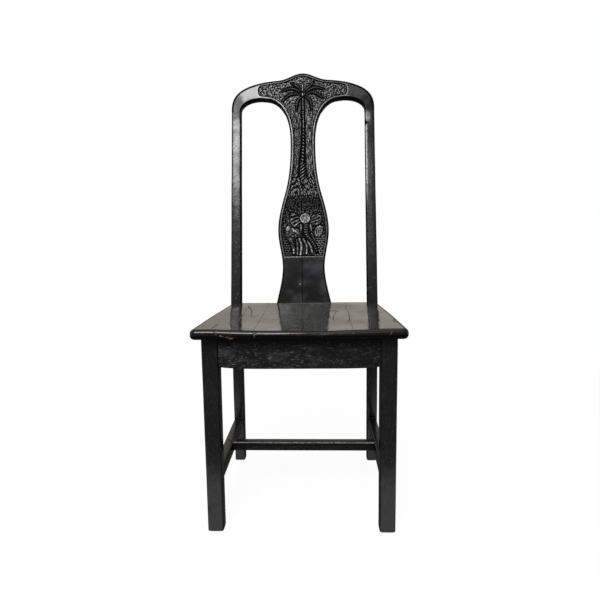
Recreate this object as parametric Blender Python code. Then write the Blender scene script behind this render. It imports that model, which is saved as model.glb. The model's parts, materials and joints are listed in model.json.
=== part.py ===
"""A carved black side chair, with a palm and an elephant in low relief on its back.

Metres, +Z up. The chair faces -Y, and the origin lies on the floor under the middle of the
chair's box. Every joint is a mortise and tenon with the same small clearance.
"""

import math
from collections import namedtuple

import bmesh
import bpy
import numpy as np
from mathutils import Vector

for leftover in list(bpy.data.objects):
    bpy.data.objects.remove(leftover, do_unlink=True)

# Driving dimensions: fit and roundings
FIT = 0.0003                   # clearance between pieces that touch
EDGE_ROUND = 0.0025            # worn radius along legs, posts, rails and stretchers
CORNER_STEPS = 3               # straight steps in one rounded corner
SHARP_ANGLE = math.radians(35)  # edges sharper than this stay crisp when shaded

# Driving dimensions: seat
SEAT_HEIGHT = 0.450            # floor to the top of the seat's rim
SEAT_THICKNESS = 0.0215
SEAT_FRONT_WIDTH = 0.446
SEAT_REAR_WIDTH = 0.405        # where the sides meet the posts
SEAT_DEPTH = 0.414
SEAT_SIDE_BOW = 0.002          # how far the sides swell between front and rear
SEAT_CORNER_RADIUS = 0.012
SEAT_NOSING = 0.009            # radius of the rounded front and side edges
SEAT_SEAMS = (-0.138, -0.092, 0.003, 0.047, 0.111)  # glue lines, from the middle of the seat
DISH_DEPTH = 0.006
DISH_RIM_SIDE = 0.033          # flat rim left beside the hollow
DISH_RIM_REAR = 0.029
DISH_CENTRE = 0.190            # deepest point, behind the front edge
DISH_RUNOUT = 0.070            # how far the hollow's oval would run past the front edge
DISH_SQUARENESS = 3.4
DISH_RINGS = (0.05, 0.35, 0.65, 0.85, 1.0, 1.15)  # shares of the hollow's oval
DISH_STEPS = 40                # straight steps round the hollow

# Driving dimensions: front legs and rear posts
LEG_SIZE = 0.036
LEG_FOOT_SIZE = 0.0345
LEG_FRONT_SETBACK = 0.022      # behind the seat's front edge
LEG_SIDE_SETBACK = 0.019       # inside the seat's side edge
FOOT_CHAMFER = 0.0025
POST_WIDTH = 0.0285
POST_TOP_WIDTH = 0.0265
POST_DEPTH = 0.034
POST_FOOT_DEPTH = 0.032
POST_SIDE_SETBACK = 0.0015     # inside the seat's side edge
POST_LEAN_IN = 0.004           # the posts' tops stand this much closer to the middle
POST_LAP = 0.020               # from the posts' front face to the seat's rear edge
POST_BEND = 0.015              # half the length over which a post turns into its rake
BACK_RAKE = math.radians(9.3)

# Driving dimensions: crest rail, measured up the raked back from the seat
CREST_THICKNESS = 0.025
CREST_JOINT = 0.5315           # where crest, posts and splat meet
CREST_RISE = 0.0875
CREST_SQUARENESS = 2.8         # exponent of the shoulders' oval
PEAK_RISE = 0.0175             # the small peak on top of the oval
PEAK_HALF_WIDTH = 0.072
PEAK_SHARPNESS = 1.2
ARCH_RISE = 0.0365             # top of the arches above the joint
ARCH_POST_RUN = 0.057          # from a post's inner face to the arch's top
ARCH_POST_SQUARENESS = 2.2
ARCH_SPLAT_SQUARENESS = 2.4
BACK_EDGE_ROUND = 0.0025

# Driving dimensions: splat, heights measured up the back from the seat
SPLAT_THICKNESS = 0.020
SPLAT_FOOT_WIDTH = 0.149
SPLAT_FOOT_FLARE = -0.21       # change of half width per unit of height at the foot
SPLAT_ANKLE_WIDTH = 0.1146
SPLAT_ANKLE_HEIGHT = 0.101
SPLAT_BELLY_WIDTH = 0.139
SPLAT_BELLY_HEIGHT = 0.200
SPLAT_FLANK_WIDTH = 0.102
SPLAT_FLANK_HEIGHT = 0.299
SPLAT_FLANK_SLOPE = -0.29
SPLAT_WAIST_WIDTH = 0.068
SPLAT_WAIST_HEIGHT = 0.440
SPLAT_SEAM = -0.004            # glue line of the two boards

# Driving dimensions: carved field
FIELD_BORDER = 0.008           # raised border between the outline and the sunk field
FIELD_DEPTH = 0.003
FIELD_LEDGE = 0.1285           # lower end of the carving above the seat
FIELD_HALF_LENGTH = 0.1235     # reach of the carving along the crest
RELIEF_HEIGHT = 0.0026         # carved forms above the sunk field
RELIEF_ROOT = 0.002            # how far they are rooted below it
RIDGE_SHOULDER = 0.8           # height of a carved stem's shoulders, as a share of the relief

# Driving dimensions: the carved palm. Fronds give a bend and a tip, measured from the hub
PALM_X = 0.001
PALM_HUB_RISE = 0.0445         # hub above the crest's joint
FROND_HALF_WIDTH = 0.0036
FROND_END_SHARE = 0.25         # width left at a frond's two ends
FRONDS = (
    ((0.022, 0.033), (0.032, 0.035)),
    ((0.032, 0.030), (0.061, 0.012)),
    ((0.042, 0.024), (0.058, -0.013)),
    ((0.030, -0.004), (0.025, -0.038)),
    ((-0.024, 0.030), (-0.032, 0.031)),
    ((-0.032, 0.029), (-0.057, 0.010)),
    ((-0.039, 0.010), (-0.055, -0.018)),
    ((-0.019, -0.010), (-0.015, -0.038)),
    ((-0.001, 0.012), (-0.002, 0.028)),
)
PALM_STEM_HALF_WIDTH = 0.0045
PALM_BASE_HALF_WIDTH = 0.0115
PALM_BASE_HEIGHT = 0.352
PALM_BASE_FLARE = 6            # how suddenly the stem widens at its base

# Driving dimensions: the carved elephant, as (x, height above the seat)
ELEPHANT_MASSES = (
    ("body", (-0.026, 0.197), 0.024, 0.022),     # centre, half width and half height
    ("shoulder", (-0.004, 0.194), 0.022, 0.026),
    ("forehead", (0.004, 0.232), 0.014, 0.014),
    ("left_ear", (-0.026, 0.227), 0.014, 0.021),
    ("right_ear", (0.035, 0.231), 0.016, 0.015),
)
ELEPHANT_TRUNK = ((0.007, 0.220), (0.006, 0.178), (0.036, 0.140))
TRUNK_ROOT_HALF_WIDTH = 0.007
TRUNK_TIP_HALF_WIDTH = 0.003
ELEPHANT_LEGS = ((-0.033, -0.030), (-0.019, -0.018), (-0.007, -0.008), (0.006, 0.008))  # hip and foot
ELEPHANT_HIP_HEIGHT = 0.180
ELEPHANT_FOOT_HEIGHT = 0.135
ELEPHANT_LEG_HALF_WIDTH = 0.0045

# Driving dimensions: rails and stretchers
RAIL_HEIGHT = 0.0665
RAIL_THICKNESS = 0.018
RAIL_FRONT_INSET = 0.003       # front rail behind the legs' front faces
RAIL_REAR_INSET = 0.002        # rear rail behind the posts' front faces
RAIL_END_LIFT = 0.004          # the front rail's lower edge rises this much at its ends
RAIL_LIFT_POWER = 6            # how late along the rail that rise comes
STRETCHER_TOP = 0.1265
SIDE_STRETCHER_WIDTH = 0.024
SIDE_STRETCHER_HEIGHT = 0.029
CROSS_STRETCHER_DEPTH = 0.026
CROSS_STRETCHER_HEIGHT = 0.023
CROSS_STRETCHER_PLACE = 0.2286  # middle of the cross stretcher behind the seat's front edge

# Driving dimensions: tenons
Tenon = namedtuple("Tenon", "length width height lift")
MORTISE_MOUTH = 0.005          # how far a mortise's cutter reaches out of the wood
RAIL_TENON_LENGTH = 0.016
RAIL_TENON_WIDTH = 0.008
RAIL_TENON_HEIGHT = 0.026
RAIL_TENON_SHOULDER = 0.005    # wood left above an upper tenon, or below a lower one
TENON_LIFT = RAIL_HEIGHT / 2 - RAIL_TENON_SHOULDER - RAIL_TENON_HEIGHT / 2
UPPER_TENON = Tenon(RAIL_TENON_LENGTH, RAIL_TENON_WIDTH, RAIL_TENON_HEIGHT, TENON_LIFT)
LOWER_TENON = Tenon(RAIL_TENON_LENGTH, RAIL_TENON_WIDTH, RAIL_TENON_HEIGHT, -TENON_LIFT)
SIDE_STRETCHER_TENON = Tenon(0.016, 0.010, 0.017, 0.0)
CROSS_STRETCHER_TENON = Tenon(0.010, 0.012, 0.011, 0.0)
POST_TENON = Tenon(0.026, 0.012, 0.011, 0.0)
SPLAT_TENON_THICKNESS = 0.009
SPLAT_TENON_SHOULDER = 0.012   # splat's shoulder beside each tenon
SPLAT_FOOT_TENON = 0.014
SPLAT_HEAD_TENON = 0.016

# Driving dimensions: corner blocks and their screws
BLOCK_WIDTH = 0.028
BLOCK_HEIGHT = 0.026
SCREW_LENGTH = 0.036
SCREW_SHANK = 0.0042
SCREW_HEAD = 0.0086
SCREW_HEAD_DEPTH = 0.0032
SCREW_HEAD_RIM = 0.0006        # straight edge of the head before its cone
SCREW_POINT = 0.007
SCREW_TIP = 0.0010
SCREW_SIDES = 12

# Colours of the finishes
BLACK_LACQUER = (0.012, 0.012, 0.013)
SEAT_LACQUER = (0.014, 0.013, 0.012)
STAINED_BLOCK = (0.045, 0.030, 0.020)
STEEL = (0.42, 0.40, 0.37)

# Places that follow from the sizes
SEAT_UNDERSIDE = SEAT_HEIGHT - SEAT_THICKNESS
RAIL_TOP = SEAT_UNDERSIDE - FIT
RAIL_MIDDLE = RAIL_TOP - RAIL_HEIGHT / 2
LEG_X = SEAT_FRONT_WIDTH / 2 - LEG_SIDE_SETBACK - LEG_SIZE / 2
LEG_Y = LEG_FRONT_SETBACK + LEG_SIZE / 2
LEG_BACK = LEG_FRONT_SETBACK + LEG_SIZE
POST_FACE = SEAT_DEPTH - POST_LAP
POST_OUTER = SEAT_REAR_WIDTH / 2 - POST_SIDE_SETBACK
POST_INNER = POST_OUTER - POST_WIDTH
POST_X = POST_OUTER - POST_WIDTH / 2
CREST_HALF = POST_OUTER - POST_LEAN_IN
CREST_INNER = CREST_HALF - POST_TOP_WIDTH
ARCH_TOP = CREST_JOINT + ARCH_RISE
ARCH_MIDDLE = CREST_INNER - ARCH_POST_RUN
FRONT_RAIL_Y = LEG_FRONT_SETBACK + RAIL_FRONT_INSET + RAIL_THICKNESS / 2
REAR_RAIL_Y = POST_FACE + RAIL_REAR_INSET + RAIL_THICKNESS / 2

# Shares of a span, from 0 to 1, at which a curve is cut into straight steps
COARSE = [i / 6 for i in range(7)]
MEDIUM = [i / 10 for i in range(11)]
FINE = [i / 16 for i in range(17)]


def empty(name, parent=None, location=(0, 0, 0), tilt=0.0):
    """A frame that pieces are placed in, leaning back by tilt about X."""
    made = bpy.data.objects.new(name, None)
    made.parent = parent
    made.location = location
    made.rotation_euler = (-tilt, 0, 0)
    bpy.context.scene.collection.objects.link(made)
    return made


def place(name, bm, parent, location=(0, 0, 0), turn=0.0):
    """Turns a bmesh into an object in its parent's frame, turned about Z."""
    bmesh.ops.recalc_face_normals(bm, faces=bm.faces)
    mesh = bpy.data.meshes.new(name)
    bm.to_mesh(mesh)
    bm.free()
    made = bpy.data.objects.new(name, mesh)
    made.parent = parent
    made.location = location
    made.rotation_euler = (0, 0, turn)
    bpy.context.scene.collection.objects.link(made)
    return made


def finish(piece, colour, roughness, metallic=0.0):
    """Gives a piece a material of its own."""
    material = bpy.data.materials.new(piece.name + "_finish")
    material.use_nodes = True
    shader = material.node_tree.nodes["Principled BSDF"]
    shader.inputs["Base Color"].default_value = (*colour, 1)
    shader.inputs["Roughness"].default_value = roughness
    shader.inputs["Metallic"].default_value = metallic
    piece.data.materials.append(material)
    piece.data.shade_smooth()
    piece.data.set_sharp_from_angle(angle=SHARP_ANGLE)
    return piece


def lacquered(name, bm, parent, location=(0, 0, 0), turn=0.0):
    return finish(place(name, bm, parent, location, turn), BLACK_LACQUER, 0.3)


def helper(name, bm, parent, location=(0, 0, 0), turn=0.0):
    """A cutter or a carved form that only shapes other pieces."""
    made = place(name, bm, parent, location, turn)
    made.hide_render = True
    made.display_type = "WIRE"
    return made


def combine(piece, other, operation):
    """Adds a Boolean to a piece. The other operand is an object or a collection."""
    boolean = piece.modifiers.new(operation.lower(), "BOOLEAN")
    boolean.operation = operation
    boolean.solver = "EXACT"
    if isinstance(other, bpy.types.Collection):
        boolean.operand_type = "COLLECTION"
        boolean.collection = other
    else:
        boolean.object = other


def group(name, members):
    """A collection of helpers that act on a piece together."""
    collection = bpy.data.collections.new(name)
    for member in members:
        collection.objects.link(member)
    return collection


def loft(rings):
    """A closed solid skinned over rings that all have the same number of points."""
    bm = bmesh.new()
    loops = [[bm.verts.new(point) for point in ring] for ring in rings]
    for low, high in zip(loops, loops[1:]):
        for i in range(len(low)):
            j = (i + 1) % len(low)
            bm.faces.new((low[i], low[j], high[j], high[i]))
    bm.faces.new(loops[0])
    bm.faces.new(loops[-1])
    return bm


def box(low, high):
    """A plain box between two corners."""
    (x0, y0, z0), (x1, y1, z1) = low, high
    corners = ((x0, y0), (x1, y0), (x1, y1), (x0, y1))
    return loft([[(x, y, z) for x, y in corners] for z in (z0, z1)])


def rounded_rectangle(width, height, radius=EDGE_ROUND):
    """Points round a rectangle about the origin, with its corners rounded."""
    points = []
    for corner, (sx, sy) in enumerate(((1, 1), (-1, 1), (-1, -1), (1, -1))):
        for step in range(CORNER_STEPS + 1):
            angle = (corner + step / CORNER_STEPS) * math.pi / 2
            x = sx * (width / 2 - radius) + radius * math.cos(angle)
            y = sy * (height / 2 - radius) + radius * math.sin(angle)
            points.append((x, y))
    return points


def plate(outline, thickness, edge_is_round):
    """A board with its face in XZ at y = 0. Its front and back edges are rounded where chosen."""
    bm = loft([[(x, y, z) for x, z in outline] for y in (0, thickness)])
    rounded = []
    for edge in bm.edges:
        a, b = (vertex.co for vertex in edge.verts)
        if abs(a.y - b.y) < thickness / 2 and edge_is_round((a + b) / 2):
            rounded.append(edge)
    bmesh.ops.bevel(
        bm, geom=rounded, offset=BACK_EDGE_ROUND, segments=2, profile=0.5, affect="EDGES"
    )
    return bm


def beam(length, width, height, tenon, end_lift=0.0):
    """A rail along X with a tenon on both ends. Its lower edge may rise towards the ends."""
    half = length / 2

    def section(x, section_width, section_height, z):
        points = rounded_rectangle(section_width, section_height)
        return [(x, across, z + up) for across, up in points]

    def body(x):
        lift = end_lift * abs(x / half) ** RAIL_LIFT_POWER
        return section(x, width, height - lift, lift / 2)

    def stub(x):
        return section(x, tenon.width, tenon.height, tenon.lift)

    stations = [half * (2 * share - 1) for share in (FINE if end_lift else (0, 1))]
    rings = [stub(-half - tenon.length), stub(-half)]
    rings += [body(x) for x in stations]
    rings += [stub(half), stub(half + tenon.length)]
    return loft(rings)


def mortise(host, rail, length, end, tenon):
    """Cuts a rail's tenon, grown by the clearance, out of the piece that takes it."""
    start = length / 2 - MORTISE_MOUTH
    stop = length / 2 + tenon.length + FIT
    wide = tenon.width / 2 + FIT
    tall = tenon.height / 2 + FIT
    inner, outer = sorted((end * start, end * stop))
    low = (inner, -wide, tenon.lift - tall)
    high = (outer, wide, tenon.lift + tall)
    combine(host, helper(f"{host.name}_mortise", box(low, high), rail), "DIFFERENCE")


def hermite(knots, at):
    """The smooth curve through (place, value, slope) knots, read at one place."""
    for (x0, y0, m0), (x1, y1, m1) in zip(knots, knots[1:]):
        if at <= x1:
            span = x1 - x0
            t = (at - x0) / span
            start = (1 + 2 * t) * (1 - t) ** 2 * y0 + t * (1 - t) ** 2 * span * m0
            return start + t * t * (3 - 2 * t) * y1 + t * t * (t - 1) * span * m1
    return knots[-1][1]


def crest_top(x):
    """Height of the crest's upper edge: a squared oval with a small peak on it."""
    share = min(abs(x) / CREST_HALF, 1)
    oval = (1 - share**CREST_SQUARENESS) ** (1 / CREST_SQUARENESS)
    wave = 0.5 + 0.5 * math.cos(math.pi * min(abs(x) / PEAK_HALF_WIDTH, 1))
    return CREST_JOINT + CREST_RISE * oval + PEAK_RISE * wave**PEAK_SHARPNESS


def arch_post_side(share):
    """A point of an arch, from a post's inner face at 0 to the arch's top at 1."""
    angle = share * math.pi / 2
    power = 2 / ARCH_POST_SQUARENESS
    x = ARCH_MIDDLE + ARCH_POST_RUN * math.cos(angle) ** power
    return x, CREST_JOINT + ARCH_RISE * math.sin(angle) ** power


def splat_half_width(z):
    """Half the splat's width at a height. Above the waist the sides sweep into the arches."""
    if z >= SPLAT_WAIST_HEIGHT:
        rise = (z - SPLAT_WAIST_HEIGHT) / (ARCH_TOP - SPLAT_WAIST_HEIGHT)
        sweep = (1 - min(rise, 1) ** ARCH_SPLAT_SQUARENESS) ** (1 / ARCH_SPLAT_SQUARENESS)
        return ARCH_MIDDLE - (ARCH_MIDDLE - SPLAT_WAIST_WIDTH / 2) * sweep
    knots = (
        (0, SPLAT_FOOT_WIDTH / 2, SPLAT_FOOT_FLARE),
        (SPLAT_ANKLE_HEIGHT, SPLAT_ANKLE_WIDTH / 2, 0),
        (SPLAT_BELLY_HEIGHT, SPLAT_BELLY_WIDTH / 2, 0),
        (SPLAT_FLANK_HEIGHT, SPLAT_FLANK_WIDTH / 2, SPLAT_FLANK_SLOPE),
        (SPLAT_WAIST_HEIGHT, SPLAT_WAIST_WIDTH / 2, 0),
    )
    return hermite(knots, z)


def both_sides(right):
    """A closed outline from its right half, listed from the bottom up."""
    left = [(-x, z) for x, z in reversed(right) if x > 0]
    return right + left


def between(low, high, shares):
    return [low + (high - low) * share for share in shares]


def arch_splat_side(shares):
    """Points of an arch from the splat's head, at 0, to the arch's top, at 1."""
    heights = [CREST_JOINT + ARCH_RISE * math.sin(share * math.pi / 2) for share in shares]
    return [(splat_half_width(z), z) for z in heights]


def crest_outline():
    """Splat joint, arch, post joint and the upper edge, on the right and then mirrored."""
    right = arch_splat_side(COARSE)
    right += [arch_post_side(share) for share in reversed(COARSE[:-1])]
    for share in MEDIUM:
        x = CREST_HALF * math.cos(share * math.pi / 2) ** (2 / CREST_SQUARENESS)
        if x > PEAK_HALF_WIDTH:
            right.append((x, crest_top(x)))
    right += [(x, crest_top(x)) for x in between(PEAK_HALF_WIDTH, 0, COARSE)]
    return both_sides(right)


def splat_outline():
    """Foot, belly, waist and head on the right, then mirrored."""
    right = [(splat_half_width(z), z) for z in between(0, SPLAT_WAIST_HEIGHT, FINE)]
    head = between(SPLAT_WAIST_HEIGHT, CREST_JOINT - FIT, COARSE[1:])
    right += [(splat_half_width(z), z) for z in head]
    return both_sides(right)


def inset(points, distance):
    """Moves an open line of points to its left by a distance."""
    moved = []
    for i, (x, z) in enumerate(points):
        before = points[max(i - 1, 0)]
        after = points[min(i + 1, len(points) - 1)]
        run = Vector((after[0] - before[0], after[1] - before[1])).normalized()
        moved.append((x - run.y * distance, z + run.x * distance))
    return moved


def field_outline():
    """The sunk field: the splat's sides and arches moved in, round ends, and the crest's top."""
    sides = [(splat_half_width(z), z) for z in between(FIELD_LEDGE, CREST_JOINT, FINE[:-1])]
    right = inset(sides + arch_splat_side(COARSE), FIELD_BORDER)
    lower = right[-1][1]
    upper = crest_top(ARCH_MIDDLE) - FIELD_BORDER
    middle = (lower + upper) / 2
    for share in COARSE[1:-1]:
        angle = math.pi * (share - 0.5)
        x = ARCH_MIDDLE + (FIELD_HALF_LENGTH - ARCH_MIDDLE) * math.cos(angle)
        right.append((x, middle + (upper - lower) / 2 * math.sin(angle)))
    right += [(x, crest_top(x) - FIELD_BORDER) for x in between(ARCH_MIDDLE, 0, MEDIUM)]
    return both_sides(right)


def ridge(path, half_widths):
    """A carved stem on the sunk field that follows a path and has a rounded back."""
    rings = []
    top = FIELD_DEPTH - RELIEF_HEIGHT * RIDGE_SHOULDER
    for i, (x, z) in enumerate(path):
        before = path[max(i - 1, 0)]
        after = path[min(i + 1, len(path) - 1)]
        run = Vector((after[0] - before[0], after[1] - before[1])).normalized()
        side = Vector((-run.y, run.x)) * half_widths[i]
        rings.append([
            (x + side.x, FIELD_DEPTH, z + side.y),
            (x + side.x / 2, top, z + side.y / 2),
            (x - side.x / 2, top, z - side.y / 2),
            (x - side.x, FIELD_DEPTH, z - side.y),
            (x, FIELD_DEPTH + RELIEF_ROOT, z),
        ])
    return loft(rings)


def bow(start, control, stop):
    """A path that leaves start towards control and ends at stop."""
    path = []
    for t in COARSE:
        first = Vector(start).lerp(Vector(control), t)
        second = Vector(control).lerp(Vector(stop), t)
        path.append(tuple(first.lerp(second, t)))
    return path


def mound(centre, half_width, half_height, rise):
    """A rounded boss that stands up from the sunk field."""
    bm = bmesh.new()
    bmesh.ops.create_icosphere(bm, subdivisions=2, radius=1)
    bmesh.ops.scale(bm, vec=(half_width, rise, half_height), verts=bm.verts)
    bmesh.ops.translate(bm, vec=(centre[0], FIELD_DEPTH, centre[1]), verts=bm.verts)
    return bm


chair = empty("chair")
back = empty("back", chair, (0, POST_FACE, SEAT_HEIGHT), BACK_RAKE)

# Front legs: square, hardly tapered, with a chamfered foot
front_legs = {}
for side, label in ((-1, "left"), (1, "right")):
    rings = []
    for z, size in (
        (0, LEG_FOOT_SIZE - 2 * FOOT_CHAMFER),
        (FOOT_CHAMFER, LEG_FOOT_SIZE),
        (RAIL_TOP, LEG_SIZE),
    ):
        rings.append([(x, y, z) for x, y in rounded_rectangle(size, size)])
    place_of_leg = (side * LEG_X, LEG_Y, 0)
    front_legs[side] = lacquered(f"front_leg_{label}", loft(rings), chair, place_of_leg)


def post_ring(side, x_middle, width, depth, face_y, z, lean):
    """One section of a post, square to the post and leaning back by an angle."""
    ring = []
    for across, behind in rounded_rectangle(width, depth):
        y = face_y + (behind + depth / 2) * math.cos(lean)
        ring.append((side * (x_middle + across), y, z - (behind + depth / 2) * math.sin(lean)))
    return ring


def post_rings(side):
    """Sections up a post: foot, bend at the seat, shoulder under the crest, tenon."""
    rings = [
        post_ring(
            side,
            POST_X,
            POST_WIDTH - 2 * FOOT_CHAMFER,
            POST_FOOT_DEPTH - 2 * FOOT_CHAMFER,
            FOOT_CHAMFER,
            0,
            0,
        ),
        post_ring(side, POST_X, POST_WIDTH, POST_FOOT_DEPTH, 0, FOOT_CHAMFER, 0),
    ]
    radius = POST_BEND / math.tan(BACK_RAKE / 2)
    for share in (0, 1 / 3, 2 / 3, 1):
        lean = share * BACK_RAKE
        y = radius * (1 - math.cos(lean))
        z = SEAT_HEIGHT - POST_BEND + radius * math.sin(lean)
        rings.append(post_ring(side, POST_X, POST_WIDTH, POST_DEPTH, y, z, lean))
    shoulder = CREST_JOINT - FIT
    top_x = CREST_HALF - POST_TOP_WIDTH / 2
    stub_in = (CREST_THICKNESS - POST_TENON.height) / 2
    for along, width, depth, behind in (
        (shoulder, POST_TOP_WIDTH, CREST_THICKNESS, 0),
        (shoulder, POST_TENON.width, POST_TENON.height, stub_in),
        (shoulder + POST_TENON.length, POST_TENON.width, POST_TENON.height, stub_in),
    ):
        y = along * math.sin(BACK_RAKE) + behind * math.cos(BACK_RAKE)
        z = SEAT_HEIGHT + along * math.cos(BACK_RAKE) - behind * math.sin(BACK_RAKE)
        rings.append(post_ring(side, top_x, width, depth, y, z, BACK_RAKE))
    return rings


# Rear posts: upright below the seat, raked above it, tapering up to the crest
rear_posts = {}
for side, label in ((-1, "left"), (1, "right")):
    rear_posts[side] = lacquered(f"rear_post_{label}", loft(post_rings(side)), chair, (0, POST_FACE, 0))

# Seat frame: four rails with staggered tenons
front_length = 2 * (LEG_X - LEG_SIZE / 2 - FIT)
front_rail = lacquered(
    "front_rail",
    beam(front_length, RAIL_THICKNESS, RAIL_HEIGHT, UPPER_TENON, RAIL_END_LIFT),
    chair,
    (0, FRONT_RAIL_Y, RAIL_MIDDLE),
)
rear_length = 2 * (POST_INNER - FIT)
rear_rail = lacquered(
    "rear_rail",
    beam(rear_length, RAIL_THICKNESS, RAIL_HEIGHT, UPPER_TENON),
    chair,
    (0, REAR_RAIL_Y, RAIL_MIDDLE),
)
for side in (-1, 1):
    mortise(front_legs[side], front_rail, front_length, side, UPPER_TENON)
    mortise(rear_posts[side], rear_rail, rear_length, side, UPPER_TENON)

# Side rails and side stretchers run from the front legs to the posts
side_run = POST_FACE - LEG_BACK
side_length = side_run - 2 * FIT
side_turn = math.pi / 2 + math.atan2(LEG_X - POST_X, side_run)
side_middle_x = (LEG_X + POST_X) / 2
side_middle_y = (LEG_BACK + POST_FACE) / 2
side_stretchers = {}
for side, label in ((-1, "left"), (1, "right")):
    turn = math.pi / 2 + side * (side_turn - math.pi / 2)
    rail = lacquered(
        f"side_rail_{label}",
        beam(side_length, RAIL_THICKNESS, RAIL_HEIGHT, LOWER_TENON),
        chair,
        (side * side_middle_x, side_middle_y, RAIL_MIDDLE),
        turn,
    )
    stretcher = lacquered(
        f"side_stretcher_{label}",
        beam(side_length, SIDE_STRETCHER_WIDTH, SIDE_STRETCHER_HEIGHT, SIDE_STRETCHER_TENON),
        chair,
        (side * side_middle_x, side_middle_y, STRETCHER_TOP - SIDE_STRETCHER_HEIGHT / 2),
        turn,
    )
    side_stretchers[side] = stretcher
    for host, end in ((front_legs[side], -1), (rear_posts[side], 1)):
        mortise(host, rail, side_length, end, LOWER_TENON)
        mortise(host, stretcher, side_length, end, SIDE_STRETCHER_TENON)

# Cross stretcher between the side stretchers, flush with their tops
along_side = (CROSS_STRETCHER_PLACE - LEG_BACK) / side_run
cross_x = LEG_X + (POST_X - LEG_X) * along_side
cross_length = 2 * (cross_x - SIDE_STRETCHER_WIDTH / 2 - FIT)
cross_stretcher = lacquered(
    "cross_stretcher",
    beam(cross_length, CROSS_STRETCHER_DEPTH, CROSS_STRETCHER_HEIGHT, CROSS_STRETCHER_TENON),
    chair,
    (0, CROSS_STRETCHER_PLACE, STRETCHER_TOP - CROSS_STRETCHER_HEIGHT / 2),
)
for side in (-1, 1):
    mortise(side_stretchers[side], cross_stretcher, cross_length, side, CROSS_STRETCHER_TENON)

# Carved forms on the back: a palm whose fronds spread along the crest
palm_hub = (PALM_X, CREST_JOINT + PALM_HUB_RISE)


def from_hub(offset):
    return (palm_hub[0] + offset[0], palm_hub[1] + offset[1])


palm_forms = []
frond_swell = [
    FROND_HALF_WIDTH * (FROND_END_SHARE + (1 - FROND_END_SHARE) * math.sin(math.pi * share))
    for share in COARSE
]
for number, (bend, tip) in enumerate(FRONDS):
    path = bow(palm_hub, from_hub(bend), from_hub(tip))
    palm_forms.append(helper(f"palm_frond_{number}", ridge(path, frond_swell), back))
upper_stem = [(PALM_X, z) for z in between(CREST_JOINT + FIT, palm_hub[1], COARSE)]
slender = [PALM_STEM_HALF_WIDTH] * len(COARSE)
palm_forms.append(helper("palm_upper_stem", ridge(upper_stem, slender), back))

lower_stem = [(PALM_X, z) for z in between(PALM_BASE_HEIGHT, CREST_JOINT - 2 * FIT, MEDIUM)]
flare = PALM_BASE_HALF_WIDTH - PALM_STEM_HALF_WIDTH
flared = [PALM_STEM_HALF_WIDTH + flare * (1 - share) ** PALM_BASE_FLARE for share in MEDIUM]
splat_forms = [helper("palm_lower_stem", ridge(lower_stem, flared), back)]

# The elephant under the palm: rounded masses, trunk and legs
for name, centre, half_width, half_height in ELEPHANT_MASSES:
    bulk = mound(centre, half_width, half_height, RELIEF_HEIGHT)
    splat_forms.append(helper(f"elephant_{name}", bulk, back))
taper = between(TRUNK_ROOT_HALF_WIDTH, TRUNK_TIP_HALF_WIDTH, COARSE)
splat_forms.append(helper("elephant_trunk", ridge(bow(*ELEPHANT_TRUNK), taper), back))
for number, (hip, foot) in enumerate(ELEPHANT_LEGS):
    across = between(hip, foot, COARSE[::3])
    heights = between(ELEPHANT_HIP_HEIGHT, ELEPHANT_FOOT_HEIGHT, COARSE[::3])
    limb = ridge(list(zip(across, heights)), [ELEPHANT_LEG_HALF_WIDTH] * len(across))
    splat_forms.append(helper(f"elephant_leg_{number}", limb, back))

field = field_outline()
field_cutter = helper(
    "carved_field",
    loft([[(x, y, z) for x, z in field] for y in (-FIELD_DEPTH, FIELD_DEPTH)]),
    back,
)

# Crest rail: one shaped board that caps the posts and the splat
crest_rail = lacquered(
    "crest_rail",
    plate(crest_outline(), CREST_THICKNESS, lambda middle: middle.z > CREST_JOINT + FIT),
    back,
)
combine(crest_rail, field_cutter, "DIFFERENCE")
combine(crest_rail, group("crest_carving", palm_forms), "UNION")
for side in (-1, 1):
    x = side * (CREST_HALF - POST_TOP_WIDTH / 2)
    wide = POST_TENON.width / 2 + FIT
    front = (CREST_THICKNESS - POST_TENON.height) / 2 - FIT
    pocket = box(
        (x - wide, front, CREST_JOINT - POST_TENON.length),
        (x + wide, CREST_THICKNESS - front, CREST_JOINT + POST_TENON.length + FIT),
    )
    combine(crest_rail, helper(f"crest_mortise_{side}", pocket, back), "DIFFERENCE")

# Splat: two boards glued on the middle line, carved as one, with a tenon at each end
tenon_front = (SPLAT_THICKNESS - SPLAT_TENON_THICKNESS) / 2
tenon_rear = tenon_front + SPLAT_TENON_THICKNESS
head_reach = splat_half_width(CREST_JOINT) - SPLAT_TENON_SHOULDER
foot_reach = SPLAT_FOOT_WIDTH / 2 - SPLAT_TENON_SHOULDER


def splat_tongue(reach, low, high, grow):
    """A tenon of the splat, or with grow above 0 the mortise that takes it."""
    return box(
        (-reach - grow, tenon_front - grow, low - grow),
        (reach + grow, tenon_rear + grow, high + grow),
    )


head_span = (CREST_JOINT - SPLAT_HEAD_TENON, CREST_JOINT + SPLAT_HEAD_TENON)
foot_span = (-SPLAT_FOOT_TENON, SPLAT_FOOT_TENON)
head_mortise = helper("splat_head_mortise", splat_tongue(head_reach, *head_span, FIT), back)
combine(crest_rail, head_mortise, "DIFFERENCE")
foot_mortise = helper("splat_foot_mortise", splat_tongue(foot_reach, *foot_span, FIT), back)
splat_tenons = group("splat_tenons", [
    helper("splat_head_tenon", splat_tongue(head_reach, *head_span, 0), back),
    helper("splat_foot_tenon", splat_tongue(foot_reach, *foot_span, 0), back),
])
splat_carving = group("splat_carving", splat_forms)


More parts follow.
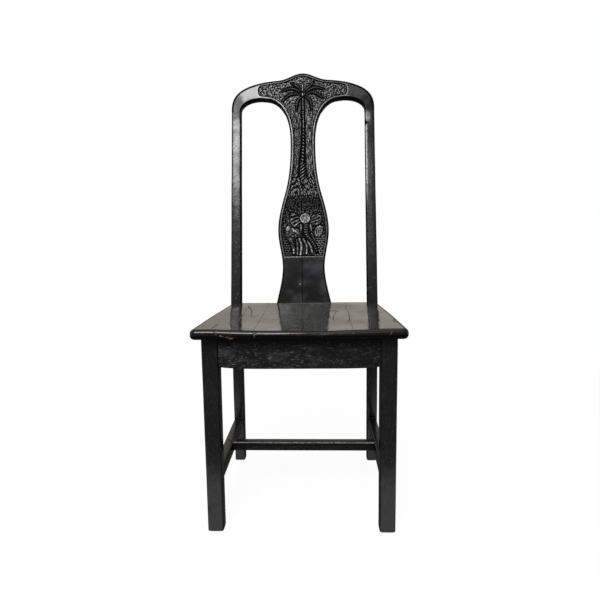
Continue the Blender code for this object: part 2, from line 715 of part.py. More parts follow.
def splat_blank():
    """The splat's board, with its foot cut level so that it stands flat on the seat."""
    bm = plate(
        splat_outline(),
        SPLAT_THICKNESS,
        lambda middle: FIT < middle.z < CREST_JOINT - 2 * FIT,
    )
    for vertex in bm.verts:
        if vertex.co.z < FIT:
            vertex.co.z += (FIT + vertex.co.y * math.sin(BACK_RAKE)) / math.cos(BACK_RAKE)
    return bm


for side, label in ((-1, "left"), (1, "right")):
    board = lacquered(f"splat_{label}", splat_blank(), back)
    combine(board, field_cutter, "DIFFERENCE")
    combine(board, splat_carving, "UNION")
    combine(board, splat_tenons, "UNION")
    edge = SPLAT_SEAM + side * FIT / 2
    far = edge + side * SPLAT_FOOT_WIDTH
    low_x, high_x = sorted((edge, far))
    half_space = box(
        (low_x, -SPLAT_THICKNESS, -CREST_JOINT),
        (high_x, 2 * SPLAT_THICKNESS, 2 * CREST_JOINT),
    )
    combine(board, helper(f"splat_half_{label}", half_space, back), "INTERSECT")

# Seat: boards glued edge to edge, notched round the posts, with one hollow across them all
NOTCH_Y = POST_FACE - FIT
NOTCH_X = POST_INNER - FIT


def seat_half_outline():
    """The right half of the seat's plan from the front: each point and the way its edge faces."""
    half = SEAT_FRONT_WIDTH / 2
    points = []
    for share in COARSE:
        angle = math.pi / 2 * (share - 1)
        facing = Vector((math.cos(angle), math.sin(angle)))
        centre = Vector((half - SEAT_CORNER_RADIUS, SEAT_CORNER_RADIUS))
        points.append((centre + facing * SEAT_CORNER_RADIUS, facing))
    for share in COARSE[1:]:
        x = half + (SEAT_REAR_WIDTH / 2 - half) * share
        x += SEAT_SIDE_BOW * math.sin(math.pi * share)
        y = SEAT_CORNER_RADIUS + (NOTCH_Y - SEAT_CORNER_RADIUS) * share
        points.append((Vector((x, y)), Vector((1, 0))))
    points.append((Vector((NOTCH_X, NOTCH_Y)), Vector((0, 0))))
    points.append((Vector((NOTCH_X, SEAT_DEPTH)), Vector((0, 0))))
    return points


def seat_panel():
    """The whole seat before it is cut into boards, with its top at z = 0 and a rounded nosing."""
    half_outline = seat_half_outline()
    levels = []
    for share in COARSE[::2]:
        angle = share * math.pi / 2
        levels.append((SEAT_NOSING * (1 - math.cos(angle)), SEAT_NOSING * (1 - math.sin(angle))))
    levels = [(rise - SEAT_THICKNESS, drawn_in) for rise, drawn_in in levels] + [
        (-rise, drawn_in) for rise, drawn_in in reversed(levels)
    ]
    rings = []
    for z, drawn_in in levels:
        right = [point - facing * drawn_in for point, facing in half_outline]
        rings.append([(x, y, z) for x, y in both_sides([tuple(point) for point in right])])
    return loft(rings)


def dish():
    """The hollow's cutter: rings of a squared oval that go down towards its middle."""
    half_width = SEAT_FRONT_WIDTH / 2 - DISH_RIM_SIDE
    rear = SEAT_DEPTH - DISH_RIM_REAR - DISH_CENTRE
    front = DISH_CENTRE + DISH_RUNOUT
    power = 2 / DISH_SQUARENESS
    rings = []
    for size in DISH_RINGS:
        ring = []
        for step in range(DISH_STEPS):
            angle = step / DISH_STEPS * 2 * math.pi
            c, s = math.cos(angle), math.sin(angle)
            x = half_width * size * math.copysign(abs(c) ** power, c)
            reach = rear if s > 0 else front
            y = DISH_CENTRE + reach * size * math.copysign(abs(s) ** power, s)
            ring.append((x, y, -DISH_DEPTH * (1 - size**2)))
        rings.append(ring)
    rings.append([(x, y, SEAT_THICKNESS) for x, y, _ in rings[-1]])
    return loft(rings)


seat_place = (0, 0, SEAT_HEIGHT)
seat_cuts = [helper("seat_dish", dish(), chair, seat_place), foot_mortise]


def side_rail_face(y):
    """How far a side rail's inner face stands from the middle, at a place behind the front edge."""
    slope = (POST_X - LEG_X) / side_run
    return LEG_X + slope * (y - LEG_BACK) - RAIL_THICKNESS / 2 * math.hypot(1, slope)


def corner_block(side, end):
    """A diagonal block across one corner of the seat frame: its outline and its middle."""
    if end < 0:
        leg_corner = (LEG_X - LEG_SIZE / 2, LEG_BACK)
        face_y = FRONT_RAIL_Y + RAIL_THICKNESS / 2
    else:
        leg_corner = (POST_INNER, POST_FACE)
        face_y = REAR_RAIL_Y - RAIL_THICKNESS / 2
    inside = side_rail_face(leg_corner[1]) - leg_corner[0]
    near = inside + abs(leg_corner[1] - face_y) + 2 * FIT
    far = near + BLOCK_WIDTH * math.sqrt(2)
    outline = []
    for from_side, from_end in ((FIT, near), (FIT, far), (far, FIT), (near, FIT)):
        y = face_y - end * (from_end + FIT)
        outline.append((side * (side_rail_face(y) - from_side - FIT), y))
    middle = Vector((0, 0))
    for corner in outline:
        middle += Vector(corner) / len(outline)
    return outline, middle


def round_ring(radius, z):
    """A circle of points about the Z axis."""
    steps = [2 * math.pi * i / SCREW_SIDES for i in range(SCREW_SIDES)]
    return [(radius * math.cos(a), radius * math.sin(a), z) for a in steps]


def screw(grow):
    """A countersunk screw pointing up from its head, or with grow above 0 the hole for it."""
    shank = SCREW_SHANK / 2 + grow
    head = SCREW_HEAD / 2 + grow
    return loft([
        round_ring(head, -grow),
        round_ring(head, SCREW_HEAD_RIM),
        round_ring(shank, SCREW_HEAD_DEPTH + grow),
        round_ring(shank, SCREW_LENGTH - SCREW_POINT + grow),
        round_ring(SCREW_TIP / 2 + grow, SCREW_LENGTH + grow),
    ])


# Corner blocks and the screws that hold the seat from below
screw_base = RAIL_TOP - BLOCK_HEIGHT + FIT
for end, end_label in ((-1, "front"), (1, "rear")):
    for side, side_label in ((-1, "left"), (1, "right")):
        label = f"{end_label}_{side_label}"
        outline, middle = corner_block(side, end)
        heights = (RAIL_TOP - BLOCK_HEIGHT, RAIL_TOP)
        solid = loft([[(x, y, z) for x, y in outline] for z in heights])
        block = finish(place(f"corner_block_{label}", solid, chair), STAINED_BLOCK, 0.7)
        spot = (middle.x, middle.y, screw_base)
        hole = helper(f"screw_hole_{label}", screw(FIT), chair, spot)
        combine(block, hole, "DIFFERENCE")
        seat_cuts.append(hole)
        finish(place(f"seat_screw_{label}", screw(0), chair, spot), STEEL, 0.4, 1.0)

seat_cutters = group("seat_cutters", seat_cuts)
seams = (-SEAT_FRONT_WIDTH,) + SEAT_SEAMS + (SEAT_FRONT_WIDTH,)
for number, (left, right) in enumerate(zip(seams, seams[1:]), start=1):
    board = place(f"seat_board_{number}", seat_panel(), chair, seat_place)
    finish(board, SEAT_LACQUER, 0.22)
    strip = box(
        (left + FIT / 2, -SEAT_DEPTH, -2 * SEAT_THICKNESS),
        (right - FIT / 2, 2 * SEAT_DEPTH, SEAT_THICKNESS),
    )
    combine(board, seat_cutters, "DIFFERENCE")
    combine(board, helper(f"seat_strip_{number}", strip, chair, seat_place), "INTERSECT")


def depth_of(pieces):
    """Lowest and highest y of the finished pieces."""
    graph = bpy.context.evaluated_depsgraph_get()
    reach = []
    for piece in pieces:
        mesh = piece.evaluated_get(graph).data
        points = np.empty(len(mesh.vertices) * 3, np.float32)
        mesh.vertices.foreach_get("co", points)
        world = np.array(piece.matrix_world)
        y = points.reshape(-1, 3) @ world[1, :3] + world[1, 3]
        reach += [float(y.min()), float(y.max())]
    return min(reach), max(reach)


# The origin goes under the middle of the chair's box
bpy.context.view_layer.update()
pieces = [made for made in bpy.data.objects if made.type == "MESH" and not made.hide_render]
nearest, farthest = depth_of(pieces)
chair.location.y = -(nearest + farthest) / 2
print(f"{len(pieces)} pieces, origin {-chair.location.y * 1000:.2f} mm behind the seat's front edge")
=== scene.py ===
# %% [markdown]
# # A carved black side chair
# The chair's solids are already packed, at their real size. This lesson dresses them: every leg,
# rail and board gets a surface with the softness of handwork, the back gets its carving, and
# black lacquer goes over all of it. Lengths in the drawings are millimetres, because a chair
# maker thinks in them, and they become metres where a mesh is made.

import json
import math

import bpy
import numpy as np
from mathutils import Matrix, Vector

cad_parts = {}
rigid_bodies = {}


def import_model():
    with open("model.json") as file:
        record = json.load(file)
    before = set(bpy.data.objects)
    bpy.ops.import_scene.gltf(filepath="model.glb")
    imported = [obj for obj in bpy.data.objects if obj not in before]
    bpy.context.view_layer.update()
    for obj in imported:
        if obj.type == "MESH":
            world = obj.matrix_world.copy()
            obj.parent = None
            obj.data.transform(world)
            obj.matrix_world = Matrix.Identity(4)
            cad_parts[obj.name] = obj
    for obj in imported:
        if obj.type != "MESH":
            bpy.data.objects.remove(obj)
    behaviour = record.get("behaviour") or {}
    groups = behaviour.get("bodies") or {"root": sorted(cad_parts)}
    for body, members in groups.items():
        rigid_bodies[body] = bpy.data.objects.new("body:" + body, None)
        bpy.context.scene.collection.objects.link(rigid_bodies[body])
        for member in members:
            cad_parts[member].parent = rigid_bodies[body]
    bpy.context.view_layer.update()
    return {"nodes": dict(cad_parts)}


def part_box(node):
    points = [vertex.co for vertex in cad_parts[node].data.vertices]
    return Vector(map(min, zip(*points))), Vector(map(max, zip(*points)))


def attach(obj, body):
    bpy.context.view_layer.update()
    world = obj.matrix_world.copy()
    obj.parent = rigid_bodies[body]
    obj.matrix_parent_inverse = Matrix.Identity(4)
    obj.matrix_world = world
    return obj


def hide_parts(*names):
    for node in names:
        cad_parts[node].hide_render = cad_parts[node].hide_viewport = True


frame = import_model()
MM = 0.001
CM3 = 1e-6

# %% [markdown]
# ## The camera
# The photograph was taken from just above seat level, a little to the right of the chair's
# middle line, by a camera tipped slightly down. A camera can be aimed with a constraint, but a
# place and three turns say exactly what was found by matching the chair's own corners.

# %% Camera
CAMERA_PLACE = (0.0461, -1.3391, 0.6493)
CAMERA_YAW = 0.03859             # radians to the left of straight ahead
CAMERA_PITCH = 0.13472           # radians below level
CAMERA_ROLL = -0.01269           # radians about the line of sight
FRAME_PIXELS = 600
FOCAL_PIXELS = 545.2
AXIS_DROP_PIXELS = 3.7           # the lens axis lies this far below the frame's middle
SENSOR_WIDTH = 36                # mm

lens = bpy.data.cameras.new("camera")
lens.sensor_width = SENSOR_WIDTH
lens.lens = FOCAL_PIXELS / FRAME_PIXELS * SENSOR_WIDTH
lens.shift_y = AXIS_DROP_PIXELS / FRAME_PIXELS
camera = bpy.data.objects.new("camera", lens)
camera.matrix_world = (
    Matrix.Translation(CAMERA_PLACE)
    @ Matrix.Rotation(CAMERA_YAW, 4, "Z")
    @ Matrix.Rotation(math.pi / 2 - CAMERA_PITCH, 4, "X")
    @ Matrix.Rotation(CAMERA_ROLL, 4, "Z")
)
bpy.context.scene.collection.objects.link(camera)
bpy.context.scene.camera = camera
bpy.context.scene.view_settings.view_transform = "Standard"
print(f"camera: {lens.lens:.1f} mm lens, {CAMERA_PLACE[2] / MM:.0f} mm above the floor")

# %% [markdown]
# ## Shader maths as plain expressions
# A finish is a recipe of masks: some noise, a threshold, a worn edge. In the shader editor each
# step is a node. Wrapping a socket in a small class lets the recipe be written as arithmetic
# instead, and each operator adds its Math node. One method makes every other kind of node.


# %% A socket that can be calculated with
class Wire:
    """A socket in a node tree. Arithmetic on it adds Math nodes, node() adds any other node."""

    def __init__(self, tree, socket=None):
        self.tree = tree
        self.socket = socket

    def node(self, kind, settings=None, sockets=None, output=0):
        """Adds a node: first its settings, then the values or links of its sockets."""
        made = self.tree.nodes.new("ShaderNode" + kind)
        for name, value in (settings or {}).items():
            setattr(made, name, value)
        for name, value in (sockets or {}).items():
            if isinstance(value, Wire):
                self.tree.links.new(value.socket, made.inputs[name])
            else:
                made.inputs[name].default_value = value
        return Wire(self.tree, made.outputs[output] if made.outputs else None)

    def math(self, operation, first, second=0.0):
        """Adds a Math node."""
        return self.node("Math", {"operation": operation}, {0: first, 1: second})

    def __add__(self, other):
        return self.math("ADD", self, other)

    __radd__ = __add__

    def __sub__(self, other):
        return self.math("SUBTRACT", self, other)

    def __rsub__(self, other):
        return self.math("SUBTRACT", other, self)

    def __mul__(self, other):
        return self.math("MULTIPLY", self, other)

    __rmul__ = __mul__

    def __abs__(self):
        return self.math("ABSOLUTE", self)

    def highest(self, other):
        """The larger of two values."""
        return self.math("MAXIMUM", self, other)

    def rise(self, low, high):
        """0 below low, 1 above high, and a smooth step between them."""
        sockets = {"Value": self, "From Min": low, "From Max": high}
        return self.node("MapRange", {"interpolation_type": "SMOOTHSTEP"}, sockets)

    def between(self, zero, one):
        """A colour that goes from zero to one as this value does."""
        colours = [c if isinstance(c, Wire) else (*c, 1.0) for c in (zero, one)]
        sockets = {0: self, 6: colours[0], 7: colours[1]}
        return self.node("Mix", {"data_type": "RGBA"}, sockets, output=2)


print("shader maths ready")

# %% [markdown]
# ## Studio
# A white sheet lies under the chair and a white backdrop stands behind it. Black lacquer shows
# mostly what it mirrors, so the studio matters more than the paint: the backdrop silvers the
# seat, pale side walls and a ceiling light the rounded edges, and the dim room behind the camera
# keeps the legs black. Walls could be modelled, but the other views would look straight at them.
# So the world plays all of them: it is white to the camera, shows mirrors the room in the
# direction they look, and gives everything else one even light.

# %% World
ROOM_GLOW = 0.05                 # what a mirror sees of the room behind the camera
CEILING_GLOW = 0.35              # and of the lit ceiling above that room
CEILING_EDGE = (0.30, 0.90)      # how far up the ceiling's light begins and is full
BACKDROP_EDGE = (0.1, 0.6)       # how squarely behind the chair the backdrop begins and is full
BACKDROP_FOOT = (-0.12, 0.02)    # and how low it reaches
BACKDROP_TINT = (0.68, 0.625, 0.56)
WALL_GLOW = 0.35                 # what a mirror sees of the side walls
WALL_EDGE = (0.75, 0.95)         # how squarely beside the chair a wall begins and is full
AMBIENT_LIGHT = 0.32
WHITE = (1, 1, 1)


def asked_by(wire, first, *others):
    """1 for the kinds of ray that are named, 0 for all other kinds."""
    asked = wire.node("LightPath", output=f"Is {first} Ray")
    for ray in others:
        asked = asked.highest(wire.node("LightPath", output=f"Is {ray} Ray"))
    return asked


world = bpy.data.worlds.new("studio")
world.use_nodes = True
bpy.context.scene.world = world
world.node_tree.nodes.clear()
studio = Wire(world.node_tree)
by_camera = asked_by(studio, "Camera")
mirrored = asked_by(studio, "Glossy", "Transmission")
heading = studio.node("TexCoord", output="Generated")
sideways, backwards, upwards = (
    studio.node("SeparateXYZ", sockets={0: heading}, output=n) for n in (0, 1, 2)
)
backdrop = backwards.rise(*BACKDROP_EDGE) * upwards.rise(*BACKDROP_FOOT)
walls = abs(sideways).rise(*WALL_EDGE) * upwards.rise(*BACKDROP_FOOT)
room = ROOM_GLOW + CEILING_GLOW * upwards.rise(*CEILING_EDGE) + WALL_GLOW * walls
reflected = backdrop + (1 - backdrop) * room
glow = mirrored * reflected + (1 - mirrored) * AMBIENT_LIGHT
strength = by_camera + (1 - by_camera) * glow
tint = (mirrored * backdrop).between(WHITE, BACKDROP_TINT)
shine = studio.node("Background", sockets={"Strength": strength, "Color": tint})
studio.node("OutputWorld", sockets={"Surface": shine})
print("world: white to the camera; backdrop, walls, ceiling and a dim room to mirrors")

# %% [markdown]
# ### The floor sheet
# The chair stands on white paper. Lit paper alone would come out grey at a light level that is
# right for the chair, and more light would spoil the black. So the sheet glows by itself where
# the camera or a mirror sees it, and a small share of lit paper is left in to hold the shadow.

# %% Floor sheet
SHEET_FRONT = -0.52              # just outside the picture's lower edge
SHEET_BACK = 1.1
SHEET_HALF = 3.0
SHEET_WHITE = (0.97, 0.97, 0.97)
SHEET_GLOW = 0.93                # the rest of the sheet's white is lit, and so takes the shadow
SHEET_SHINE = 1.025              # a little over 1, as the lit share lies below it


def new_material(name):
    """An empty node tree, ready for expressions."""
    material = bpy.data.materials.new(name)
    material.use_nodes = True
    material.node_tree.nodes.clear()
    return material, Wire(material.node_tree)


sheet_finish, paper = new_material("white_sheet")
lit = paper.node("BsdfDiffuse", sockets={"Color": (*SHEET_WHITE, 1)})
shown = asked_by(paper, "Camera", "Glossy", "Transmission")
glowing = paper.node("Emission", sockets={"Color": (*WHITE, 1), "Strength": SHEET_SHINE})
mixed = paper.node("MixShader", sockets={0: shown * SHEET_GLOW, 1: lit, 2: glowing})
paper.node("OutputMaterial", sockets={"Surface": mixed})

sheet_mesh = bpy.data.meshes.new("floor_sheet")
sheet_corners = [(-1, SHEET_FRONT), (1, SHEET_FRONT), (1, SHEET_BACK), (-1, SHEET_BACK)]
sheet_mesh.from_pydata([(x * SHEET_HALF, y, 0) for x, y in sheet_corners], [], [(0, 1, 2, 3)])
sheet_mesh.materials.append(sheet_finish)
floor_sheet = bpy.data.objects.new("floor_sheet", sheet_mesh)
bpy.context.scene.collection.objects.link(floor_sheet)
print("floor sheet from", SHEET_FRONT, "to", SHEET_BACK, "m")

# %% [markdown]
# ### Lamps
# Three soft boxes do the work. The key stands high in front on the left and leaves the long
# white gleam on the left post and shoulder, the top lamp fills the seat, and a small fill picks
# out the right post. Area lamps give the soft shadow of a studio, which a point or a sun can't.

# %% Lamps
CHAIR_HEART = np.array((0.0, 0.05, 0.62))
LAMPS = (                        # name, place, width and height in metres, watts
    ("key_lamp", (-0.465, -1.60, 2.143), 0.86, 1.20, 42.0),
    ("top_lamp", (0.15, -0.25, 2.75), 1.5, 1.3, 16.0),
    ("fill_lamp", (0.29, -1.64, 1.52), 0.37, 0.60, 0.8),
)


def soft_lamp(name, place, width, height, watts):
    """A rectangular lamp that faces the chair. Its own -Z axis points along its light."""
    light = bpy.data.lights.new(name, "AREA")
    light.shape = "RECTANGLE"
    light.size = width
    light.size_y = height
    light.energy = watts
    lamp = bpy.data.objects.new(name, light)
    away = np.array(place) - CHAIR_HEART
    away = away / np.linalg.norm(away)
    right = np.cross((0, 0, 1), away)
    right = right / np.linalg.norm(right)
    up = np.cross(away, right)
    turn = np.eye(4)
    turn[:3, :3] = np.stack([right, up, away], axis=1)
    turn[:3, 3] = place
    lamp.matrix_world = Matrix(turn.tolist())
    bpy.context.scene.collection.objects.link(lamp)


for lamp_settings in LAMPS:
    soft_lamp(*lamp_settings)
print("lamps:", ", ".join(settings[0] for settings in LAMPS))

# %% [markdown]
# ## Lacquer
# The chair is ebonised: stained, then coated with black lacquer that has dulled, chipped and
# picked up dust over the years. A painted image could hold that wear, but a recipe of noise and
# of marks that each piece carries in its mesh stays sharp at any distance. A mark is a number
# at every point of a piece, and a piece has the marks that it needs:
# - "rub" is near an arris and "bare" shows wood; "pale" is a highlight painted grey,
#   and "highlit_and_rubbed" is painted grey as highlight and as rubbing on high points;
# - "matt" never had a polish, and its colour is darkened there as painted shade; "tired" has lost
#   its polish to hands, "dull" is rough and dusty;
# - "sunk" is a carver's hollow, darkened as painted shade, "crack" a split, "glue" an old joint line;
# - "flat" is the seat's top, and "upright" says that the grain stands.

# %% Recipe parts
BARE_WOOD = (0.36, 0.30, 0.215)
WORN_BROWN = (0.060, 0.041, 0.026)
DUST = (0.185, 0.190, 0.200)
# Painted highlight grey on the frame; on the carving it stands for both painted highlight and rubbing.
RUBBED_AND_HIGHLIGHT_GREY = (0.50, 0.50, 0.49)
BLUE_SHEEN = (0.060, 0.063, 0.069)
# DRY_BLACK_AND_SHADE: dry lacquer's colour, also used to paint shade where "matt" is high.
DRY_BLACK_AND_SHADE = (0.0030, 0.0030, 0.0032)
OLD_GLUE = (0.062, 0.050, 0.038)


def mark(wire, name):
    """A number that the piece's mesh holds at each point."""
    return wire.node("Attribute", {"attribute_name": name}, output="Fac")


def cloud(wire, scale, detail=3.0, stretch=(1, 1, 1), distortion=0.0):
    """Noise on the piece's own coordinates, in patches of about 1/scale metres."""
    place = wire.node("TexCoord", output="Object")
    place = wire.node("Mapping", sockets={"Vector": place, "Scale": stretch})
    sockets = {"Vector": place, "Scale": scale, "Detail": detail, "Distortion": distortion}
    return wire.node("TexNoise", sockets=sockets)


def bared(wire):
    """Where wood shows through: the mark "bare" with its edge broken up."""
    return (mark(wire, "bare") + cloud(wire, 150, 3) * 0.6 - 0.3).rise(0.35, 0.65)


print("marks and clouds ready")

# %% [markdown]
# ### Coats
# A finish ends as a coat with bumps, and lacquer needs two: a shiny one, and a dry one that has
# lost its gloss. One coat of middling roughness would turn grey all over. The mix keeps deep
# black beside bright gleams, as on old polish.

# %% Coats
LACQUER_IOR = 1.56
LACQUER_BUMP = 0.40
DRY_ROUGHNESS = 0.8
BUMP_DEPTH = 0.0006              # metres from the lowest to the highest of a recipe's bumps


def coat_of(wire, colour, roughness, height, bump, depth=BUMP_DEPTH, **constants):
    """A Principled shader with its colour, roughness and bumps linked."""
    relief = wire.node("Bump", sockets={"Height": height, "Strength": bump, "Distance": depth})
    sockets = {"Base Color": colour, "Roughness": roughness, "Normal": relief}
    sockets.update({name.replace("_", " "): value for name, value in constants.items()})
    return wire.node("BsdfPrincipled", sockets=sockets)


def blend(wire, share, first, second):
    """One surface where share is 0, another where it is 1."""
    return wire.node("MixShader", sockets={0: share, 1: first, 2: second})


def finish_with(wire, surface):
    """Ends a recipe with its surface."""
    wire.node("OutputMaterial", sockets={"Surface": surface})


def lacquered(wire, colour, roughness, height):
    """A shiny coat, and a dry one where the mark "matt" says so and where the polish is tired."""
    shiny = coat_of(wire, colour, roughness, height, LACQUER_BUMP, IOR=LACQUER_IOR)
    dry = coat_of(wire, colour, DRY_ROUGHNESS, height, LACQUER_BUMP, Specular_IOR_Level=0.0)
    tired = (mark(wire, "tired") * 0.35 + cloud(wire, 24, 6, distortion=0.5)).rise(0.44, 0.76)
    pinholes = cloud(wire, 300, 2).rise(0.64, 0.70)
    lost = (tired * 0.75).highest(pinholes * 0.55)
    finish_with(wire, blend(wire, mark(wire, "matt").highest(lost), shiny, dry))


print("coats ready")

# %% [markdown]
# ### The frame's lacquer
# Legs, posts, rails and stretchers are satin black. Where hands and shoes pass, the arrises have
# gone brown, and rough faces hold dust in short flecks along the grain. Each kind of wear is its
# own noise with a threshold, so that one can be changed without the others.

# %% Frame lacquer
FRAME_BLACK = ((0.0110, 0.0113, 0.0118), (0.0212, 0.0203, 0.0198))   # the patches' two shades


def along_grain(wire, scale, stretch, distortion=0.0):
    """Noise drawn out along the wood: level on rails, and standing where "upright" says so."""
    level = cloud(wire, scale, 3, (stretch, stretch, 1.0), distortion)
    standing = cloud(wire, scale, 3, (1.0, 1.0, stretch), distortion)
    upright = mark(wire, "upright")
    return level * (1 - upright) + standing * upright


def frame_lacquer():
    """Legs, posts, rails and stretchers: satin black, brown along the arrises, dusty scratches."""
    material, wire = new_material("black_lacquer")
    patches = cloud(wire, 11)
    brushed = cloud(wire, 90, 4, stretch=(1, 1, 0.12))
    scratch = along_grain(wire, 120, 0.14).rise(0.62, 0.70)
    speck = cloud(wire, 330, 2).rise(0.60, 0.70)
    fleck = along_grain(wire, 380, 0.28).rise(0.58, 0.68)
    smear = along_grain(wire, 55, 0.40, distortion=0.8).rise(0.45, 0.72)
    pit = cloud(wire, 190, 3).rise(0.60, 0.70)
    dull = mark(wire, "dull")
    worn = (mark(wire, "rub") * 0.46 + cloud(wire, 75, 4) * 0.75).rise(0.84, 1.02)
    dusty = (scratch * 0.16 + speck * 0.30 + fleck * 0.72 + smear * 0.16) * (0.03 + dull * 0.97)
    pale = mark(wire, "pale") * (0.4 + cloud(wire, 140, 3).rise(0.30, 0.60) * 0.6)
    colour = patches.between(*FRAME_BLACK)
    # Painted shade: the colour goes towards dry black on inner sides, undersides and other matt faces.
    colour = (mark(wire, "matt") * 0.9).between(colour, DRY_BLACK_AND_SHADE)
    colour = worn.between(colour, WORN_BROWN)
    colour = dusty.between(colour, DUST)
    colour = pale.between(colour, RUBBED_AND_HIGHLIGHT_GREY)
    colour = bared(wire).between(colour, BARE_WOOD)
    roughness = 0.13 + patches * 0.10 + worn * 0.20 + dull * 0.25 + brushed * 0.06 + pit * 0.25
    height = brushed * 0.8 + cloud(wire, 38) * 1.8 + scratch * 0.5 - worn * 0.5 - pit * 0.35
    lacquered(wire, colour, roughness, height)
    return material


FINISHES = {"black_lacquer": frame_lacquer()}
print("frame lacquer mixed")

# %% [markdown]
# ### The carving's lacquer
# On the carved back the high points and the border's lines are painted grey as highlights, which
# also stands for a duster's rubbing on the high points, while the hollows are painted a deeper black
# as shade. A bluish sheen is painted in patches over all the carved lacquer, plainest on the splat's
# foot. The carving itself says what is high and low, so the recipe reads it from the marks.

# %% Carved lacquer
CARVED_BLACK = ((0.0060, 0.0065, 0.0072), (0.0125, 0.0125, 0.0130))
# Painted shade in the carving's hollows.
HOLLOW_SHADE_BLACK = (0.0045, 0.0043, 0.0042)


def carved_lacquer():
    """Crest and splat: black, with painted grey highlights on high points that also stand for rubbing,
    and painted shade without shine in the hollows.
    """
    material, wire = new_material("carved_lacquer")
    patches = cloud(wire, 14)
    sunk = mark(wire, "sunk")
    worn = (mark(wire, "rub") * 0.50 + cloud(wire, 85, 4) * 0.7).rise(0.86, 1.04)
    haze = cloud(wire, 26, 5, distortion=0.6)
    matt = mark(wire, "matt")
    # A bluish sheen painted in patches, standing in for a blotchy reflection.
    sheen_patches = cloud(wire, 24, 6, distortion=0.3).rise(0.42, 0.72)
    # Painted highlight on high points and border lines, partly also rubbing.
    highlit_and_rubbed_share = mark(wire, "highlit_and_rubbed") * (0.30 + cloud(wire, 170, 3).rise(0.30, 0.60) * 0.70)
    colour = patches.between(*CARVED_BLACK)
    colour = (sheen_patches * 0.7).between(colour, BLUE_SHEEN)
    # Painted shade: the colour goes towards dry black in the field's low parts and along the rasped
    # edge.
    colour = (matt * 0.95).between(colour, DRY_BLACK_AND_SHADE)
    # Painted shade: deeper parts of the field are blacker.
    colour = (sunk * 0.75).between(colour, HOLLOW_SHADE_BLACK)
    colour = highlit_and_rubbed_share.between(colour, RUBBED_AND_HIGHLIGHT_GREY)
    colour = worn.between(colour, WORN_BROWN)
    colour = bared(wire).between(colour, BARE_WOOD)
    roughness = 0.13 + haze * 0.18 + sunk * 0.12 + worn * 0.15
    height = cloud(wire, 45) * 1.8 + cloud(wire, 600, 2) * 0.20
    lacquered(wire, colour, roughness, height)
    return material


FINISHES["carved_lacquer"] = carved_lacquer()
print("carved lacquer mixed")

# %% [markdown]
# ### The seat's lacquer
# Years of sitting have polished the seat to a mirror and worn it to a thin grey in streaks along
# the boards. One shader with a middling gloss would look like plastic. Two are mixed instead, a
# polished and a worn one, so that sharp reflections and the dull grey lie side by side.

# %% Seat lacquer
SEAT_BLACK = ((0.0075, 0.0070, 0.0066), (0.016, 0.0145, 0.013))
SEAT_GREY = ((0.034, 0.032, 0.030), (0.062, 0.059, 0.055))
CRACK_BLACK = (0.0020, 0.0018, 0.0016)
CRACK_GREY = (0.0030, 0.0028, 0.0026)
SEAT_IOR = 1.48
SEAT_BUMP = 0.30
WORN_SPECULAR = 0.1


def seat_lacquer():
    """Seat boards: lacquer polished to a mirror, worn in streaks along the grain to a dull grey."""
    material, wire = new_material("seat_lacquer")
    patches = cloud(wire, 8)
    along = cloud(wire, 60, 5, stretch=(1.0, 0.06, 1.0))
    scuff = cloud(wire, 30, 6, distortion=1.0).rise(0.50, 0.72)
    scratch = cloud(wire, 150, 3, stretch=(1.0, 0.07, 1.0)).rise(0.64, 0.72)
    crack = mark(wire, "crack")
    glue = mark(wire, "glue")
    flat = mark(wire, "flat")
    bare = bared(wire)
    colour = patches.between(*SEAT_BLACK)
    colour = crack.rise(0.25, 0.75).between(colour, CRACK_BLACK)
    colour = glue.between(colour, OLD_GLUE)
    colour = bare.between(colour, BARE_WOOD)
    roughness = 0.07 + scuff * 0.12 + along * 0.05 + crack * 0.4
    height = along * 0.35 + cloud(wire, 16) * 5.0 - crack * 2.0
    polished = coat_of(wire, colour, roughness, height, SEAT_BUMP, IOR=SEAT_IOR)
    grey = along.rise(0.35, 0.65).between(*SEAT_GREY)
    grey = crack.rise(0.15, 0.60).between(grey, CRACK_GREY)
    thin = 0.75 + scuff * 0.1
    worn = coat_of(wire, grey, thin, height, SEAT_BUMP, Specular_IOR_Level=WORN_SPECULAR)
    streaks = 0.03 + along * 0.14 + scratch * 0.25 + patches.rise(0.36, 0.66) * 0.24
    top = blend(wire, flat * streaks * (1 - bare), polished, worn)
    matt = mark(wire, "matt")
    # Painted shade: the colour goes towards dry black on the nosing's band and on the underside.
    colour = (matt * (1 - bare.highest(glue))).between(colour, DRY_BLACK_AND_SHADE)
    dry = coat_of(wire, colour, DRY_ROUGHNESS, height, SEAT_BUMP, Specular_IOR_Level=0.0)
    finish_with(wire, blend(wire, matt.highest(glue.highest(crack * 0.6)), top, dry))
    return material


FINISHES["seat_lacquer"] = seat_lacquer()
print("seat lacquer mixed")

# %% [markdown]
# ### Wood and steel under the seat
# Nobody lacquers what nobody sees. The corner blocks are sawn softwood under a brown stain, and
# the screws are steel with a bloom of rust. Stretching one noise along the block is enough for
# its grain, and rust is a mask that makes the metal brown, rough and no longer metallic.

# %% Wood and steel under the seat
STAIN_LIGHT, STAIN_DARK = (0.105, 0.068, 0.040), (0.050, 0.031, 0.018)
STAIN_PATCH = (0.035, 0.024, 0.016)
BLOCK_BUMP = 0.5
STEEL, RUST = (0.36, 0.345, 0.32), (0.115, 0.058, 0.030)
RUST_BUMP, RUST_DEPTH = 0.4, 0.0001


def stained_block():
    """Corner blocks: sawn softwood, stained brown, with straight grain and a dry surface."""
    material, wire = new_material("stained_block")
    grain = cloud(wire, 160, 4, stretch=(0.10, 1.0, 1.0), distortion=0.8)
    patches = cloud(wire, 25)
    colour = grain.rise(0.35, 0.65).between(STAIN_DARK, STAIN_LIGHT)
    colour = patches.rise(0.4, 0.7).between(colour, STAIN_PATCH)
    finish_with(wire, coat_of(wire, colour, 0.62 + grain * 0.2, grain, BLOCK_BUMP))
    return material


